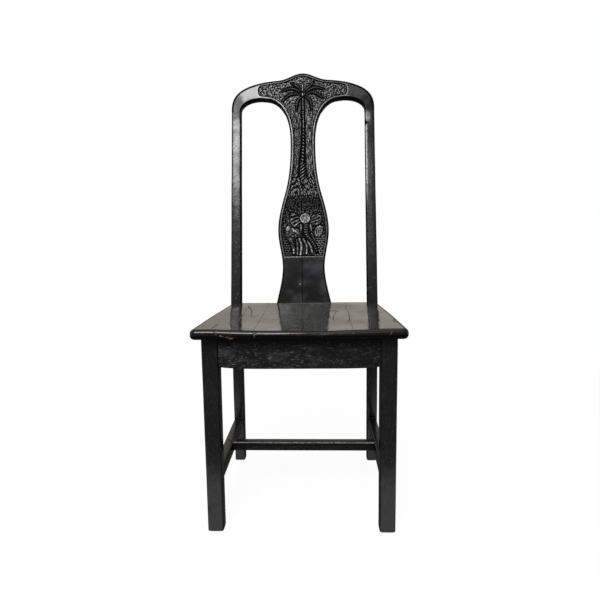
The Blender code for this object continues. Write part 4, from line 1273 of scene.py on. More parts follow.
def outer_line():
    """Right outline from front to rear, and the y that its seam's points take beside it.

    The corner's arc, the side, the notch round the post and the tongue behind it.
    """
    turn = np.linspace(0, math.pi / 2, CORNER_ROWS)
    side_y = np.linspace(CORNER, NOTCH_Y, SIDE_ROWS)[1:]
    notch_x = np.linspace(side_edge(NOTCH_Y), NOTCH_X, NOTCH_ROWS)[1:]
    tongue_y = np.linspace(NOTCH_Y, SEAT_DEPTH, TONGUE_ROWS)[1:]
    x = np.concatenate([
        FRONT_HALF - CORNER + CORNER * np.sin(turn), side_edge(side_y), notch_x,
        0 * tongue_y + NOTCH_X,
    ])
    y = np.concatenate([
        CORNER - CORNER * np.cos(turn), side_y, 0 * notch_x + NOTCH_Y, tongue_y,
    ])
    fan = (NOTCH_Y * FAN, NOTCH_Y + POST_LAP * NOTCH_FAN)
    beside = np.concatenate([
        FAN * (CORNER - CORNER * np.cos(turn)), FAN * side_y,
        np.linspace(*fan, NOTCH_ROWS)[1:], np.linspace(fan[1], SEAT_DEPTH, TONGUE_ROWS)[1:],
    ])
    return np.stack([x, y], axis=1), beside


def seam_border(number, rows, side):
    """Points down one side of a glue line."""
    return np.stack([seam(number, rows) + side * SEAM_GAP / 2, rows], axis=1)


outline, beside = outer_line()
print("rows on an outer board:", len(beside), "and on an inner one:", len(straight_rows))

# %% [markdown]
# ### Wear on the boards
# Old glue shows brown where a seam has opened, splits are dark on top and show light wood on the
# nosing, and the rolled edge is duller than the seat because nobody sits on it, and its colour is
# darkened there as painted shade. The same nosing appears in the upper and in the lower sheet of a
# board, so one function serves both.

# %% Wear on the boards
FLAKE_BARE, SPLIT_BARE = 0.8, 0.65
OPEN_LENGTH, OPEN_SEED = 230.0, 150        # how often along a seam it opens and closes
OPEN_EDGE = 0.35
GLUE_HALF, GLUE_CLOSED, GLUE_OPEN = 0.5, 0.15, 0.65
ROLL_MATT, ROLL_MATT_MORE = 0.15, 0.51     # at the very edge, and what is added further in
ROLL_FROM, ROLL_FADE = (0.9, 1.9), 1.5


def front_wear(x, below, in_front):
    """Splits and bare wood of the nosing: bells round drawn lines, and an oval for the flake."""
    splits = split_marks(x, below, FRONT_SPLITS, 1.0) * in_front
    off_x, off_z = (x - FLAKE_PLACE[0]) / FLAKE_HALF[0], (below - FLAKE_PLACE[1]) / FLAKE_HALF[1]
    flaked = np.clip(1.5 - np.hypot(off_x, off_z), 0, 1) * in_front * FLAKE_BARE
    return splits, np.maximum(flaked, SPLIT_BARE * splits)


def seam_wear(number, y, from_seam):
    """Old glue at a board's seams: a bell across, stronger where slow waves have opened them."""
    opened = smooth_step(-OPEN_EDGE, OPEN_EDGE, waves(y[..., None], OPEN_LENGTH, OPEN_SEED + number))
    return bell(from_seam, GLUE_HALF) * (GLUE_CLOSED + GLUE_OPEN * opened)


def rolled_off(from_edge):
    """Mark "matt" of the upper sheet, which also paints shade: a band over the nosing that ends where
    the seat begins.
    """
    band = ROLL_MATT + ROLL_MATT_MORE * smooth_step(*ROLL_FROM, from_edge)
    return band * (1 - smooth_step(NOSING, NOSING + ROLL_FADE, from_edge))


print("wear on the boards ready")

# %% [markdown]
# ### The six boards
# Everything about the seat is now a function of x and y, and a board only says where its borders
# are. One slow warp of its own sets each board off from the next, so the reflections break at
# the seams as they do on a real seat, which a single dished mesh would not show.

# %% Boards
BOARDS = len(SEAM_FRONT) + 1
COLUMN_SPACING = 0.8
SEAT_WAVER, SEAT_WAVER_LENGTH, SEAT_SEED = 0.13, 75.0, 120
BOARD_WARP, BOARD_WARP_LENGTH, BOARD_SEED = 0.25, 300.0, 130
SPLIT_GLUE, SEAM_GLUE_BELOW, SEAM_CRACK = 0.6, 0.7, 0.5
BOARD_CREASE = 50
MIRROR = np.array([-1, 1])

for number in range(BOARDS):
    first, last = number == 0, number == BOARDS - 1
    rows = beside if first or last else straight_rows
    left = outline * MIRROR if first else seam_border(number - 1, rows, 1)
    right = outline if last else seam_border(number, rows, -1)
    left_steps, right_steps = (nosing_steps if end else arris_steps for end in (first, last))
    grid, from_left, from_right = plan(left, right, left_steps, right_steps, COLUMN_SPACING)
    x, y = grid[..., 0], grid[..., 1]
    from_edge = edge_distance(x, y)
    from_seam = np.minimum(np.inf if first else from_left, np.inf if last else from_right)
    nosing = rolled(from_edge, NOSING)
    in_front = 1 - smooth_step(NOSING - 2, NOSING, y)
    splits, bare = front_wear(x, nosing, in_front)
    splits_below, bare_below = front_wear(x, SEAT_THICKNESS - nosing, in_front)
    splits = np.maximum(splits, split_marks(x, y, TOP_SPLITS, SPLIT_STRETCH) * (1 - in_front))
    top = -nosing - hollow(x, y) - rolled(from_seam, SEAM_ARRIS) - SPLIT_DEPTH * splits
    top = top + SEAT_WAVER * waves(grid, SEAT_WAVER_LENGTH, SEAT_SEED)
    top = top + BOARD_WARP * waves(grid[..., :1], BOARD_WARP_LENGTH, BOARD_SEED + number)
    bottom = nosing - SEAT_THICKNESS + SPLIT_DEPTH * splits_below
    points, faces = slab(*(
        np.stack([x, SEAT_FRONT_Y + y, SEAT_TOP + z], axis=-1) * MM for z in (top, bottom)
    ))
    seam_glue = seam_wear(number, y, from_seam)
    glue_below = np.maximum(SEAM_GLUE_BELOW * seam_glue, SPLIT_GLUE * splits_below) * in_front
    flat = smooth_step(NOSING * 0.5, NOSING, from_edge)
    add_piece(
        f"seat_plank_{number + 1}", points, faces, "seat_lacquer", [f"seat_board_{number + 1}"],
        BOARD_CREASE,
        crack=over_under(np.maximum(splits, SEAM_CRACK * seam_glue), splits_below),
        bare=over_under(bare, bare_below),
        glue=over_under(np.maximum(seam_glue, SPLIT_GLUE * splits * in_front), glue_below),
        flat=over_under(flat, flat),
        matt=over_under(rolled_off(from_edge), BESIDE + 0 * flat),
    )

# %% [markdown]
# ## The back's outline
# Crest and splat were cut to one flowing outline: a squared oval with a peak on top, two
# arches below, and a vase shaped splat. Drawing it with formulas keeps the carving's border
# parallel to the edge, because the distance to the outline can be worked out at every point.

# %% Outline formulas
CREST_HALF = POST_OUTER - POST_LEAN_IN
CREST_INNER = CREST_HALF - POST_TOP_WIDTH
CREST_RISE = 87.5
CREST_SQUARENESS = 2.8
PEAK_RISE, PEAK_HALF, PEAK_SHARPNESS = 17.5, 72.0, 1.2
ARCH_RISE, ARCH_RUN = 34.0, 57.0
ARCH_POST_SQUARENESS, ARCH_SPLAT_SQUARENESS = 2.2, 2.4
ARCH_TOP = CREST_JOINT + ARCH_RISE
ARCH_MIDDLE = CREST_INNER - ARCH_RUN
WAIST_HALF, WAIST_HEIGHT = 34.0, 440.0
VASE_HEIGHT = np.array([0.0, 101.0, 200.0, 299.0, WAIST_HEIGHT])
VASE_HALF = np.array([74.5, 57.3, 69.5, 51.0, WAIST_HALF])
VASE_SLOPE = np.array([-0.21, 0.0, 0.0, -0.29, 0.0])


def squared(share, power):
    """Quarter of a squared oval: (1 - share^p)^(1/p)."""
    return (1 - np.clip(np.abs(share), 0, 1) ** power) ** (1 / power)


def crest_top(u):
    """Upper edge of the crest: a squared oval with a cosine peak on it."""
    wave = 0.5 + 0.5 * np.cos(math.pi * np.clip(np.abs(u) / PEAK_HALF, 0, 1))
    oval = CREST_RISE * squared(u / CREST_HALF, CREST_SQUARENESS)
    return CREST_JOINT + oval + PEAK_RISE * wave**PEAK_SHARPNESS


def splat_half(v):
    """Half the splat's width: a cubic through the vase's knots, then the sweep into the arches."""
    at = np.clip(np.searchsorted(VASE_HEIGHT, v, side="right") - 1, 0, len(VASE_HEIGHT) - 2)
    span = VASE_HEIGHT[at + 1] - VASE_HEIGHT[at]
    t = np.clip((v - VASE_HEIGHT[at]) / span, 0, 1)
    vase = (1 + 2 * t) * (1 - t) ** 2 * VASE_HALF[at] + t * (1 - t) ** 2 * span * VASE_SLOPE[at]
    vase = vase + t * t * (3 - 2 * t) * VASE_HALF[at + 1]
    vase = vase + t * t * (t - 1) * span * VASE_SLOPE[at + 1]
    rise = (v - WAIST_HEIGHT) / (ARCH_TOP - WAIST_HEIGHT)
    sweep = squared(np.maximum(rise, 0), ARCH_SPLAT_SQUARENESS)
    return np.where(v < WAIST_HEIGHT, vase, ARCH_MIDDLE - (ARCH_MIDDLE - WAIST_HALF) * sweep)


def crest_bottom(u):
    """Lower edge of the crest: flat on the splat, the arch's two quarters, flat on the post."""
    u = np.abs(u)
    sweep = (ARCH_MIDDLE - u) / (ARCH_MIDDLE - WAIST_HALF)
    by_splat = WAIST_HEIGHT + (ARCH_TOP - WAIST_HEIGHT) * squared(sweep, ARCH_SPLAT_SQUARENESS)
    by_post = CREST_JOINT + ARCH_RISE * squared((u - ARCH_MIDDLE) / ARCH_RUN, ARCH_POST_SQUARENESS)
    return np.maximum(np.where(u < ARCH_MIDDLE, by_splat, by_post), CREST_JOINT)


print(f"back: peak {crest_top(np.array(0.0)):.0f} mm above the seat, arches {ARCH_TOP:.0f} mm")

# %% [markdown]
# ### Distance to the outline
# Border, rounding and rasped edge all follow the outline at a set distance. Blender could offset
# a curve, but a carved surface needs the distance at every point, so the outline is drawn as two
# lines of short steps, above and below, and each point is measured against both.

# %% Distance to the outline
BELOW_SEAT = 15.0                # how far the splat's outline is drawn on below the seat's top
HAIR = 0.001                     # keeps it just short of the arch's top
SIDE_POINTS, ARCH_POINTS, TOP_POINTS = 190, 60, 150
AT_A_TIME = 3000


def nearest(points, line):
    """Distance from points to a line of straight steps, some points at a time to save memory."""
    start, step = line[:-1], np.diff(line, axis=0)
    found = []
    for some in np.array_split(points, max(1, len(points) // AT_A_TIME)):
        offset = some[:, None, :] - start
        along = np.clip((offset * step).sum(-1) / (step * step).sum(-1), 0, 1)
        found.append(np.linalg.norm(offset - along[..., None] * step, axis=-1).min(axis=1))
    return np.concatenate(found)


sides_v = np.linspace(-BELOW_SEAT, ARCH_TOP - HAIR, SIDE_POINTS)
arch_u = ARCH_MIDDLE + ARCH_RUN * np.sin(np.linspace(0, math.pi / 2, ARCH_POINTS))
top_u = CREST_HALF * np.sin(np.linspace(0, math.pi / 2, TOP_POINTS))
LOWER_LINE = np.concatenate([
    np.stack([splat_half(sides_v), sides_v], axis=1),
    np.stack([arch_u, crest_bottom(arch_u)], axis=1),
])
UPPER_LINE = np.stack([top_u, crest_top(top_u)], axis=1)


def outline_distance(u, v):
    """Distance in from the outline, and whether its upper line is the nearer one.

    The back is symmetrical, so the right half of the outline is enough.
    """
    points = np.stack([np.abs(u).ravel(), v.ravel()], axis=1)
    lower, upper = (nearest(points, line).reshape(u.shape) for line in (LOWER_LINE, UPPER_LINE))
    return np.minimum(lower, upper), upper < lower


print("outline steps:", len(LOWER_LINE), "below and", len(UPPER_LINE), "above")

# %% [markdown]
# ## Carving
# The carver sank a field inside a narrow border and left a palm and an elephant standing in it,
# then roughened the ground with a gouge so that the smooth forms read. Sculpting by hand would
# be one way. A height for every point is another: each form is a function of its distance to a
# few drawn lines, and forms are laid one over the other, each with a trench round it.

# %% Gouge marks
TILE = 64                        # pebbles repeat after so many cells
PEBBLE_HALF = 0.6                # of a cell


def pebbles(u, v, wide, tall, seed):
    """Rounded marks, one to a cell of that size: 1 at a scattered point, 0 between points."""
    jitter = np.random.default_rng(seed).random((TILE, TILE, 2))
    column, row = np.floor(u / wide).astype(int), np.floor(v / tall).astype(int)
    closest = np.full(np.shape(u), 9.0)
    for right in (-1, 0, 1):
        for up in (-1, 0, 1):
            spot = jitter[(row + up) % TILE, (column + right) % TILE]
            gap_u = u / wide - (column + right) - spot[..., 0]
            gap_v = v / tall - (row + up) - spot[..., 1]
            closest = np.minimum(closest, gap_u**2 + gap_v**2)
    return np.clip(1 - closest / PEBBLE_HALF**2, 0, 1)


def struck(u, v, marks):
    """Several sets of pebbles on top of each other, each with its own rise."""
    return sum(rise * pebbles(u, v, *cell) for rise, *cell in marks)


def scales(u, v, wide, tall):
    """Rims of overlapping round scales in staggered rows, as on a fish."""
    row = np.floor(v / tall)
    across = (u / wide + 0.5 * (row % 2)) % 1 - 0.5
    reach = np.hypot(across * wide, v - row * tall)
    return bell(reach - 0.42 * wide, 0.13 * wide)


print("gouge marks ready")

# %% [markdown]
# ### The sunk field and its ground
# The field ends at a ledge above the splat's plain foot and in two round ends in the crest. The
# carver changed tools on the way down: round punches in the crest, long strokes beside the stem,
# leaning grass at its foot, then scales round the elephant. Each kind has a zone of heights.

# %% The sunk field and its ground
FIELD_BORDER = 7.6
FIELD_DEPTH = 3.2
FIELD_LEDGE = 128.5
FIELD_END = 123.5
CREST_ZONE = (530.0, 550.0)      # heights over which one kind of ground becomes the next
STEM_ZONE, GRASS_ZONE, QUIET_ZONE = (350.0, 372.0), (284.0, 300.0), (250.0, 260.0)
CREST_MARKS = ((2.0, 5.8, 4.6, 1), (0.8, 3.1, 2.7, 6))   # rise, a cell's width and height, seed
STEM_MARKS = ((1.6, 3.0, 22.0, 2), (1.15, 3.2, 3.4, 3))
GRASS_MARKS = ((2.5, 4.6, 8.0, 4),)
FINE_MARKS = ((1.0, 4.4, 5.0, 5),)
GRASS_LEAN, GRASS_FOOT = 0.35, 330.0
QUIET_RISE, LOW_RISE = 0.52, 1.1
SCALE_CELL = (8.5, 6.5)
SCALES_RIGHT, SCALES_LEFT, SCALES_TOP = (26.0, 32.0), (-34.0, -40.0), 188.0


def field_inside(u, v, distance):
    """Distance in from the field's border, below 0 outside it: outline, ledge and round ends."""
    lower, upper = ARCH_TOP + FIELD_BORDER, crest_top(np.array(ARCH_MIDDLE)) - FIELD_BORDER
    beyond = np.maximum(np.abs(u) - ARCH_MIDDLE, 0) / (FIELD_END - ARCH_MIDDLE)
    off_middle = np.where(beyond > 0, (v - (lower + upper) / 2) / ((upper - lower) / 2), 0)
    ends = (1 - np.hypot(beyond, off_middle)) * (FIELD_END - ARCH_MIDDLE)
    inside = np.minimum(distance - FIELD_BORDER, v - FIELD_LEDGE)
    return np.where(beyond > 0, np.minimum(inside, ends), inside)


def ground(u, v):
    """Height of the gouged ground: pebbles in the crest, upright strokes beside the stem, grass
    below it, a quiet patch above the elephant, and scales and stipple round it."""
    in_crest, past_grass, past_quiet, past_low = (
        smooth_step(*zone, v) for zone in (CREST_ZONE, STEM_ZONE, GRASS_ZONE, QUIET_ZONE)
    )
    right = np.sign(u)
    lean = u + GRASS_LEAN * right * (v - GRASS_FOOT)
    low = 1 - past_low
    scaled = np.maximum(smooth_step(*SCALES_RIGHT, u), smooth_step(*SCALES_LEFT, u)) * (v < SCALES_TOP)
    stipple = struck(u, v, CREST_MARKS) * in_crest * (1.06 - 0.08 * right)
    strokes = struck(u, v, STEM_MARKS) * (past_grass * (1 - in_crest)) * (1.05 + 0.13 * right)
    grass = struck(lean, v, GRASS_MARKS) * (past_quiet * (1 - past_grass))
    quiet = past_low * (1 - past_quiet)
    fine = struck(u, v, FINE_MARKS) * (QUIET_RISE * quiet + LOW_RISE * low * (1 - scaled))
    fish = (2.4 + 0.5 * right) * scales(u, v, *SCALE_CELL) * scaled * low
    return stipple + strokes + grass + fine + fish


print("field:", FIELD_DEPTH, "mm deep inside a border of", FIELD_BORDER, "mm")

# %% [markdown]
# ### Forms
# Palm and elephant are made of a few kinds of form: a boss for a round mass, a ridge for a limb,
# evenly spaced ridges for pleats and rings. Booleans of spheres and cylinders could make them, but
# a carver thinks of a surface that rises and falls, and so does a height for every point.

# %% Forms
TRENCH_HALF = 1.8
DOME_FULLNESS = 0.8              # below 1 a boss is flatter on top and steeper at its rim


def lay(height, form, reach, trench=1.0):
    """Lays a form over what is there. reach is 0 inside the form and grows away from it, in mm.

    Close by, the ground is cut down into a trench, so that the form's edge reads as a dark line.
    """
    near = bell(np.maximum(reach, 0), TRENCH_HALF)
    height = height * (1 - near) - trench * near
    return np.where(reach <= 0, form, height)


def dome(u, v, centre, half_u, half_v, rise, turn=0.0):
    """A rounded boss: its height, and the distance outside its oval."""
    c, s = math.cos(turn), math.sin(turn)
    du, dv = u - centre[0], v - centre[1]
    far = np.hypot((du * c + dv * s) / half_u, (dv * c - du * s) / half_v)
    round_top = np.sqrt(np.clip(1 - far**2, 0, 1)) ** DOME_FULLNESS
    return rise * round_top, (far - 1) * min(half_u, half_v)


def limb(u, v, knots, root, tip, rise):
    """A rounded ridge along a line, tapering from root to tip: height, distance and share."""
    share, gap = follow(u, v, curve(*knots))
    half = root + (tip - root) * share
    height = rise * np.sqrt(np.clip(1 - (gap / half) ** 2, 0, 1))
    return height, np.abs(gap) - half, share


def ridges(place, width):
    """Ridges of height 1 at whole numbers, as wide as that share of their spacing."""
    return bell((place + 0.5) % 1 - 0.5, width)


print("forms ready")

# %% [markdown]
# ### The palm's fronds
# Eight fronds spring from a hub near the peak and droop along the crest. Each is a scooped leaf
# with one raised rib. One frond could be copied round the hub, but drawing each from three knots
# keeps them as unlike as the carver's own.

# %% Fronds
FROND_HALF, FROND_ROOT = 4.2, 0.35         # a frond's half width, and its share at both ends
FROND_SCOOP, FROND_RIB = -1.0, 3.3         # depth of the scoop and height of the rib above it
RIB_OFF, RIB_HALF = 0.35, 0.31             # place and half width of the rib in the half width
FRONDS = (
    ((4, 586), (18, 597), (32, 612)),
    ((9, 585), (34, 595), (60, 590)),
    ((10, 579), (32, 581), (57, 565)),
    ((7, 571), (20, 559), (25, 532)),
    ((-4, 587), (-15, 599), (-32, 609)),
    ((-7, 585), (-32, 594), (-58, 586)),
    ((-7, 578), (-35, 576), (-55, 559)),
    ((-4, 570), (-13, 558), (-17, 532)),
)


def frond(u, v, height, knots):
    """A leaf that swells in the middle: a deep scoop with one raised rib along its upper half."""
    share, gap = follow(u, v, curve(*knots, steps=10))
    swell = np.sin(math.pi * np.clip(share, 0, 1) ** 0.8)
    half = FROND_HALF * (FROND_ROOT + (1 - FROND_ROOT) * swell)
    off = gap / half * math.copysign(1, knots[-1][0] - knots[0][0])
    rib = bell(off - RIB_OFF, RIB_HALF)
    return lay(height, FROND_SCOOP + FROND_RIB * rib, np.abs(gap) - half, 0.9)


print("palm:", len(FRONDS), "fronds")

# %% [markdown]
# ### The palm's stem
# The stem drops from the hub past the splat's waist: a rib in segments between two grooves, then
# twisted beads, then slanting bark where its foot widens. A spear of young leaf stands on top. All
# three patterns are ridges along one drawn line, and smooth steps hand over from one to the next.

# %% Stem, spear and hub
PALM_HUB = ((0.0, 577.0), 2.6, 5.5, 2.7)   # centre, half sizes and height
SPEAR = (((0, 582), (0, 592), (0, 604)), 2.0, 1.5, 2.8)   # line, half widths and height
STEM = ((0, 572), (1, 540), (1, 519), (2, 480), (1, 436), (-1.5, 394), (-3, 343))
STEM_HALF, STEM_FOOT_HALF = 4.4, 11.0
STEM_RISE, STEM_GROOVE = 3.0, 1.2
STEM_RIBS = (0.34, 0.62, 1.1)    # half width of rib, beads and bark in the stem's half width
BEADS_FROM, BARK_FROM, STEM_FULL = 482.0, 388.0, 360.0
SEGMENT, BEAD = 13.0, 9.0        # lengths along the stem


def stem(u, v, height):
    """A rib between two deep grooves, then twisted beads, then bark, from the hub to the foot."""
    share, gap = follow(u, v, curve(*STEM))
    wrapped = 1 - smooth_step(BARK_FROM - 5, BARK_FROM + 5, v)
    beaded = 1 - smooth_step(BEADS_FROM - 5, BEADS_FROM + 5, v) - wrapped
    plain = 1 - beaded - wrapped
    wide = np.clip((BEADS_FROM - v) / (BEADS_FROM - STEM_FULL), 0, 1)
    half = STEM_HALF + (STEM_FOOT_HALF - STEM_HALF) * wide**1.5
    off = gap / half
    rib = bell(off, STEM_RIBS[0] * plain + STEM_RIBS[1] * beaded + STEM_RIBS[2] * wrapped)
    segments = 1 - 0.45 * ridges(v / SEGMENT, 0.10)
    beads = ridges(v / BEAD + 0.35 * off, 0.26)
    bark = ridges(v / BEAD - 0.9 * off, 0.25)
    cut = segments * plain + beads * beaded + bark * wrapped
    form = (STEM_RISE + STEM_GROOVE) * rib * cut - STEM_GROOVE
    return lay(height, form, np.abs(gap) - half + 6 * smooth_step(0.985, 1.0, share), 0.8)


def palm(u, v, height):
    """Stem first, then the fronds, then the spear and the hub where all of them meet."""
    height = stem(u, v, height)
    for knots in FRONDS:
        height = frond(u, v, height, knots)
    form, reach, _ = limb(u, v, *SPEAR)
    height = lay(height, form, reach)
    form, reach = dome(u, v, *PALM_HUB)
    return lay(height, form, reach, 0.8)


print(f"stem: {STEM[0][1] - STEM[-1][1]} mm from the hub to its foot")

# %% [markdown]
# ### The elephant's body
# The elephant stands under the palm and looks out of the panel, head to the front. Body and thigh
# come first as one hide, then legs, back and rump. What is nearer is laid on later, so its trench
# cuts into what lies behind it, which is how a carver sets one form in front of another in a few
# millimetres of wood.

# %% The elephant's body
BODY = ((-24, 191), 20, 18, 0.6)
BOSSES = (                       # centre, half sizes, height and turn of rump, hip and feet
    ((-42.5, 205.5), 6.0, 8.5, 3.5, -0.3), ((-41, 226), 2.8, 6.0, 2.3), ((-27.5, 146), 3.0, 3.4, 3.4),
    ((-26.5, 138.5), 3.0, 3.0, 3.4), ((8, 138), 3.0, 3.4, 3.2), ((22.9, 142), 3.0, 3.8, 3.4),
)
BACK = ((-31, 203), (-26, 199), (-18, 195), (-13, 190))
HIND_LEG = ((-45, 200), (-43, 186), (-33, 168), (-28, 152), (-27, 138))
HIDE_MARKS = ((0.5, 5.0, 9.0, 10),)
BACK_MARKS = ((0.9, 4.5, 5.0, 9),)
BODY_TRENCH = 1.2
LEGS = (                         # top, middle, foot, half width and height
    ((-18, 174), (-16.5, 160), (-16.8, 134), 3.2, 2.5),
    ((-11, 176), (-5.8, 158), (-8.5, 134), 4.1, 3.1),
    ((0, 176), (8.2, 158), (7.8, 138), 3.5, 2.8),
    ((12, 170), (20.5, 153), (23.0, 139), 3.4, 3.1),
)


def elephant_body(u, v, height):
    """Body and thigh under one hide, legs, ridge of the back, then rump and feet on top."""
    barrel, around = dome(u, v, *BODY)
    thigh, beside, _ = limb(u, v, HIND_LEG, 6.6, 4.6, 0.6)
    hide = np.maximum(barrel, thigh) + struck(u, v, HIDE_MARKS)
    height = lay(height, hide, np.minimum(around, beside), BODY_TRENCH)
    for first, middle, last, half, rise in LEGS:
        form, reach, share = limb(u, v, (first, middle, last), half * 1.12, half * 0.82, rise)
        form = form * (0.62 + 0.20 * share + 0.18 * ridges(share * 3 + half, 0.3))
        height = lay(height, form, reach, BODY_TRENCH)
    form, reach, share = limb(u, v, BACK, 5.4, 3.0, 2.2)
    form = form * (0.6 + 0.4 * np.sin(math.pi * share)) + struck(u, v, BACK_MARKS)
    height = np.where(reach <= 0, np.maximum(height, form), height)
    for boss in BOSSES:
        form, reach = dome(u, v, *boss)
        height = np.where(reach <= 0, np.maximum(height, form), height)
    return height


print("elephant's body:", len(LEGS) + 1, "legs")

# %% [markdown]
# ### The elephant's head
# The ears are pleated like fans, the trunk is ringed, and the forehead is a round disc with gouge
# cuts in it. Pleats are ridges by angle round a far point, so they spread as a fan does. Rings
# are ridges by the share of the trunk's line, so they crowd where it turns.

# %% The elephant's head
EARS = (                         # centre, half sizes, turn, where the pleats would meet, how many
    # would go round, their twist, and their height in the ear's upper and lower half
    ((-23, 229), 14, 21, 0.40, (34, 237), 40, -0.005, 1.9, 2.8),
    ((33, 229), 18, 14, 0.55, (-40, 190), 66, 0.002, 3.0, 2.5),
)
TRUNK = ((6.5, 222), (7, 206), (7, 193), (11, 184), (20, 174), (30, 158), (36, 141))
TUSKS = (
    ((-6.9, 216), (-6.7, 209), (-6.5, 200), 2.3, 3.1),
    ((19, 216), (20.2, 209), (21.8, 200), 1.9, 3.0),
    ((22.5, 192), (27, 181), (32, 170), 2.2, 2.1),
)
TRUNK_RINGS = 13.5
FOREHEAD = (4.5, 233.5)
FOREHEAD_HALF, FOREHEAD_RISE = 13.6, 2.2
RING_AT, RING_HALF = 11.4, 1.9   # the raised ring round the forehead
FOREHEAD_CUTS = (                # place, half sizes and depth of the gouge's cuts inside the ring
    ((1.0, 239.5), 2.4, 4.2, 1.1), ((10.0, 240.0), 1.3, 3.6, 0.9), ((11.0, 232.5), 1.6, 1.8, 0.8),
    ((3.5, 226.0), 1.5, 1.8, 1.2), ((9.5, 224.5), 1.6, 1.4, 0.9), ((-4.5, 236.0), 1.3, 1.8, 0.9),
    ((-3.0, 227.5), 1.2, 2.0, 1.0), ((14.0, 238.0), 1.8, 1.2, 1.0), ((6.5, 244.0), 1.1, 2.0, 0.9),
)
EAR_MARKS = ((0.6, 9.0, 8.0, 11),)


def elephant_head(u, v, height):
    """Ears slotted like fans, ringed trunk, tusks, and a forehead with a ring and gouge cuts."""
    for centre, half_u, half_v, turn, root, pleats, twist, above, below in EARS:
        form, reach = dome(u, v, centre, half_u, half_v, 1.0, turn)
        turned = np.arctan2(v - root[1], u - root[0]) + twist * np.hypot(u - root[0], v - root[1])
        slot = ridges(turned * pleats / (2 * math.pi), 0.24)
        rise = below + (above - below) * smooth_step(centre[1] - 2, centre[1] + 6, v)
        rim = 0.9 * rise * bell(reach + 1.5, 1.1) * (np.abs(u) > np.abs(centre[0]))
        pleat = form**0.4 * rise * (0.5 + struck(u, v, EAR_MARKS)) * (1 - slot) - 0.4 * slot
        height = lay(height, np.maximum(pleat, rim), reach, BODY_TRENCH)
    form, reach, share = limb(u, v, TRUNK, 7.6, 3.6, 1.0)
    ring = ridges(share * TRUNK_RINGS, 0.25) * np.interp(share, [0.25, 0.45], [2.1, 2.7])
    dotted = np.interp(share, [0.3, 0.5], [1.0, 4.0])
    height = lay(height, form**dotted * ring, reach, BODY_TRENCH)
    for first, middle, last, half, rise in TUSKS:
        form, reach, _ = limb(u, v, (first, middle, last), half, half * 0.8, rise)
        height = lay(height, form, reach)
    far = np.hypot(u - FOREHEAD[0], v - FOREHEAD[1])
    angle = np.arctan2(v - FOREHEAD[1], u - FOREHEAD[0])
    uneven = 0.5 + 0.35 * np.sin(3 * angle + 2.4)
    form = FOREHEAD_RISE + uneven * bell(far - RING_AT, RING_HALF)
    for centre, half_u, half_v, deep in FOREHEAD_CUTS:
        form = form - deep * bell(u - centre[0], half_u) * bell(v - centre[1], half_v)
    return lay(height, form, far - FOREHEAD_HALF, BODY_TRENCH)


print("elephant's head:", len(EARS), "ears,", len(TUSKS), "tusk strokes")

# %% [markdown]
# ### A leaf beside it
# A single curled leaf fills the space on the right. It is only an oval with a rim, and it is laid
# on before the palm and the elephant, so that both stand in front of it.

# %% Leaf
LEAF = ((42, 198), 10.5, 16.5, 1.0, -0.35)
LEAF_MARKS = ((1.8, 4.0, 6.0, 8),)
LEAF_FLOOR, LEAF_RIM = 0.7, 0.5


def leaf(u, v, height):
    """A curled leaf behind the elephant: a rim round a mottled hollow."""
    _, reach = dome(u, v, *LEAF)
    rim = bell(reach + 2.2, 1.3)
    return lay(height, LEAF_FLOOR + LEAF_RIM * rim + struck(u, v, LEAF_MARKS), reach, 0.7)


print("leaf:", 2 * LEAF[1], "x", 2 * LEAF[2], "mm")

# %% [markdown]
# ### Depth of the carved face
# Now the drawing becomes a face. The field is sunk below the border and the forms stand up in it,
# but never above the wood that the carver began with. The same heights tell where grey is painted
# on high points as highlight and rubbing, where black is painted in the hollows as shade and where
# no polish came, so shape and finish always agree.

# %% Depth of the carved face
EDGE_ROUND = 4.0
GROOVE = 0.8                     # extra depth of the groove inside the border
HIGHLIGHT_LINE_AT, HIGHLIGHT_LINE_HALF = 6.0, 0.9    # a painted highlight line along the border, in from the outline
# Heights at which the painted grey on high points begins and is full.
PROUD_FROM, PROUD_FULL = 1.5, 3.2
RASPED = 4.4                     # width of the rasped edge round the outline, which is darkened as painted shade
RASPED_TOP = 6.6                 # and along the top
RASPED_FADE = 0.8
BOARD_WAVER, BOARD_WAVER_LENGTH, FACE_SEED = 0.10, 60.0, 140
RIM_AT, RIM_HALF = 1.0, 0.9      # a painted highlight line round the field, out from its edge
RIM_HIGHLIGHT_GREY, RIM_END_HIGHLIGHT_GREY = 0.25, 0.55        # along the field, and round its two ends
BEAD_HIGHLIGHT_GREY, BEAD_TOP_HIGHLIGHT_GREY = 0.30, 0.14
GRIP = (28.0, 60.0)              # how far from the crest's corners hands have tired the polish


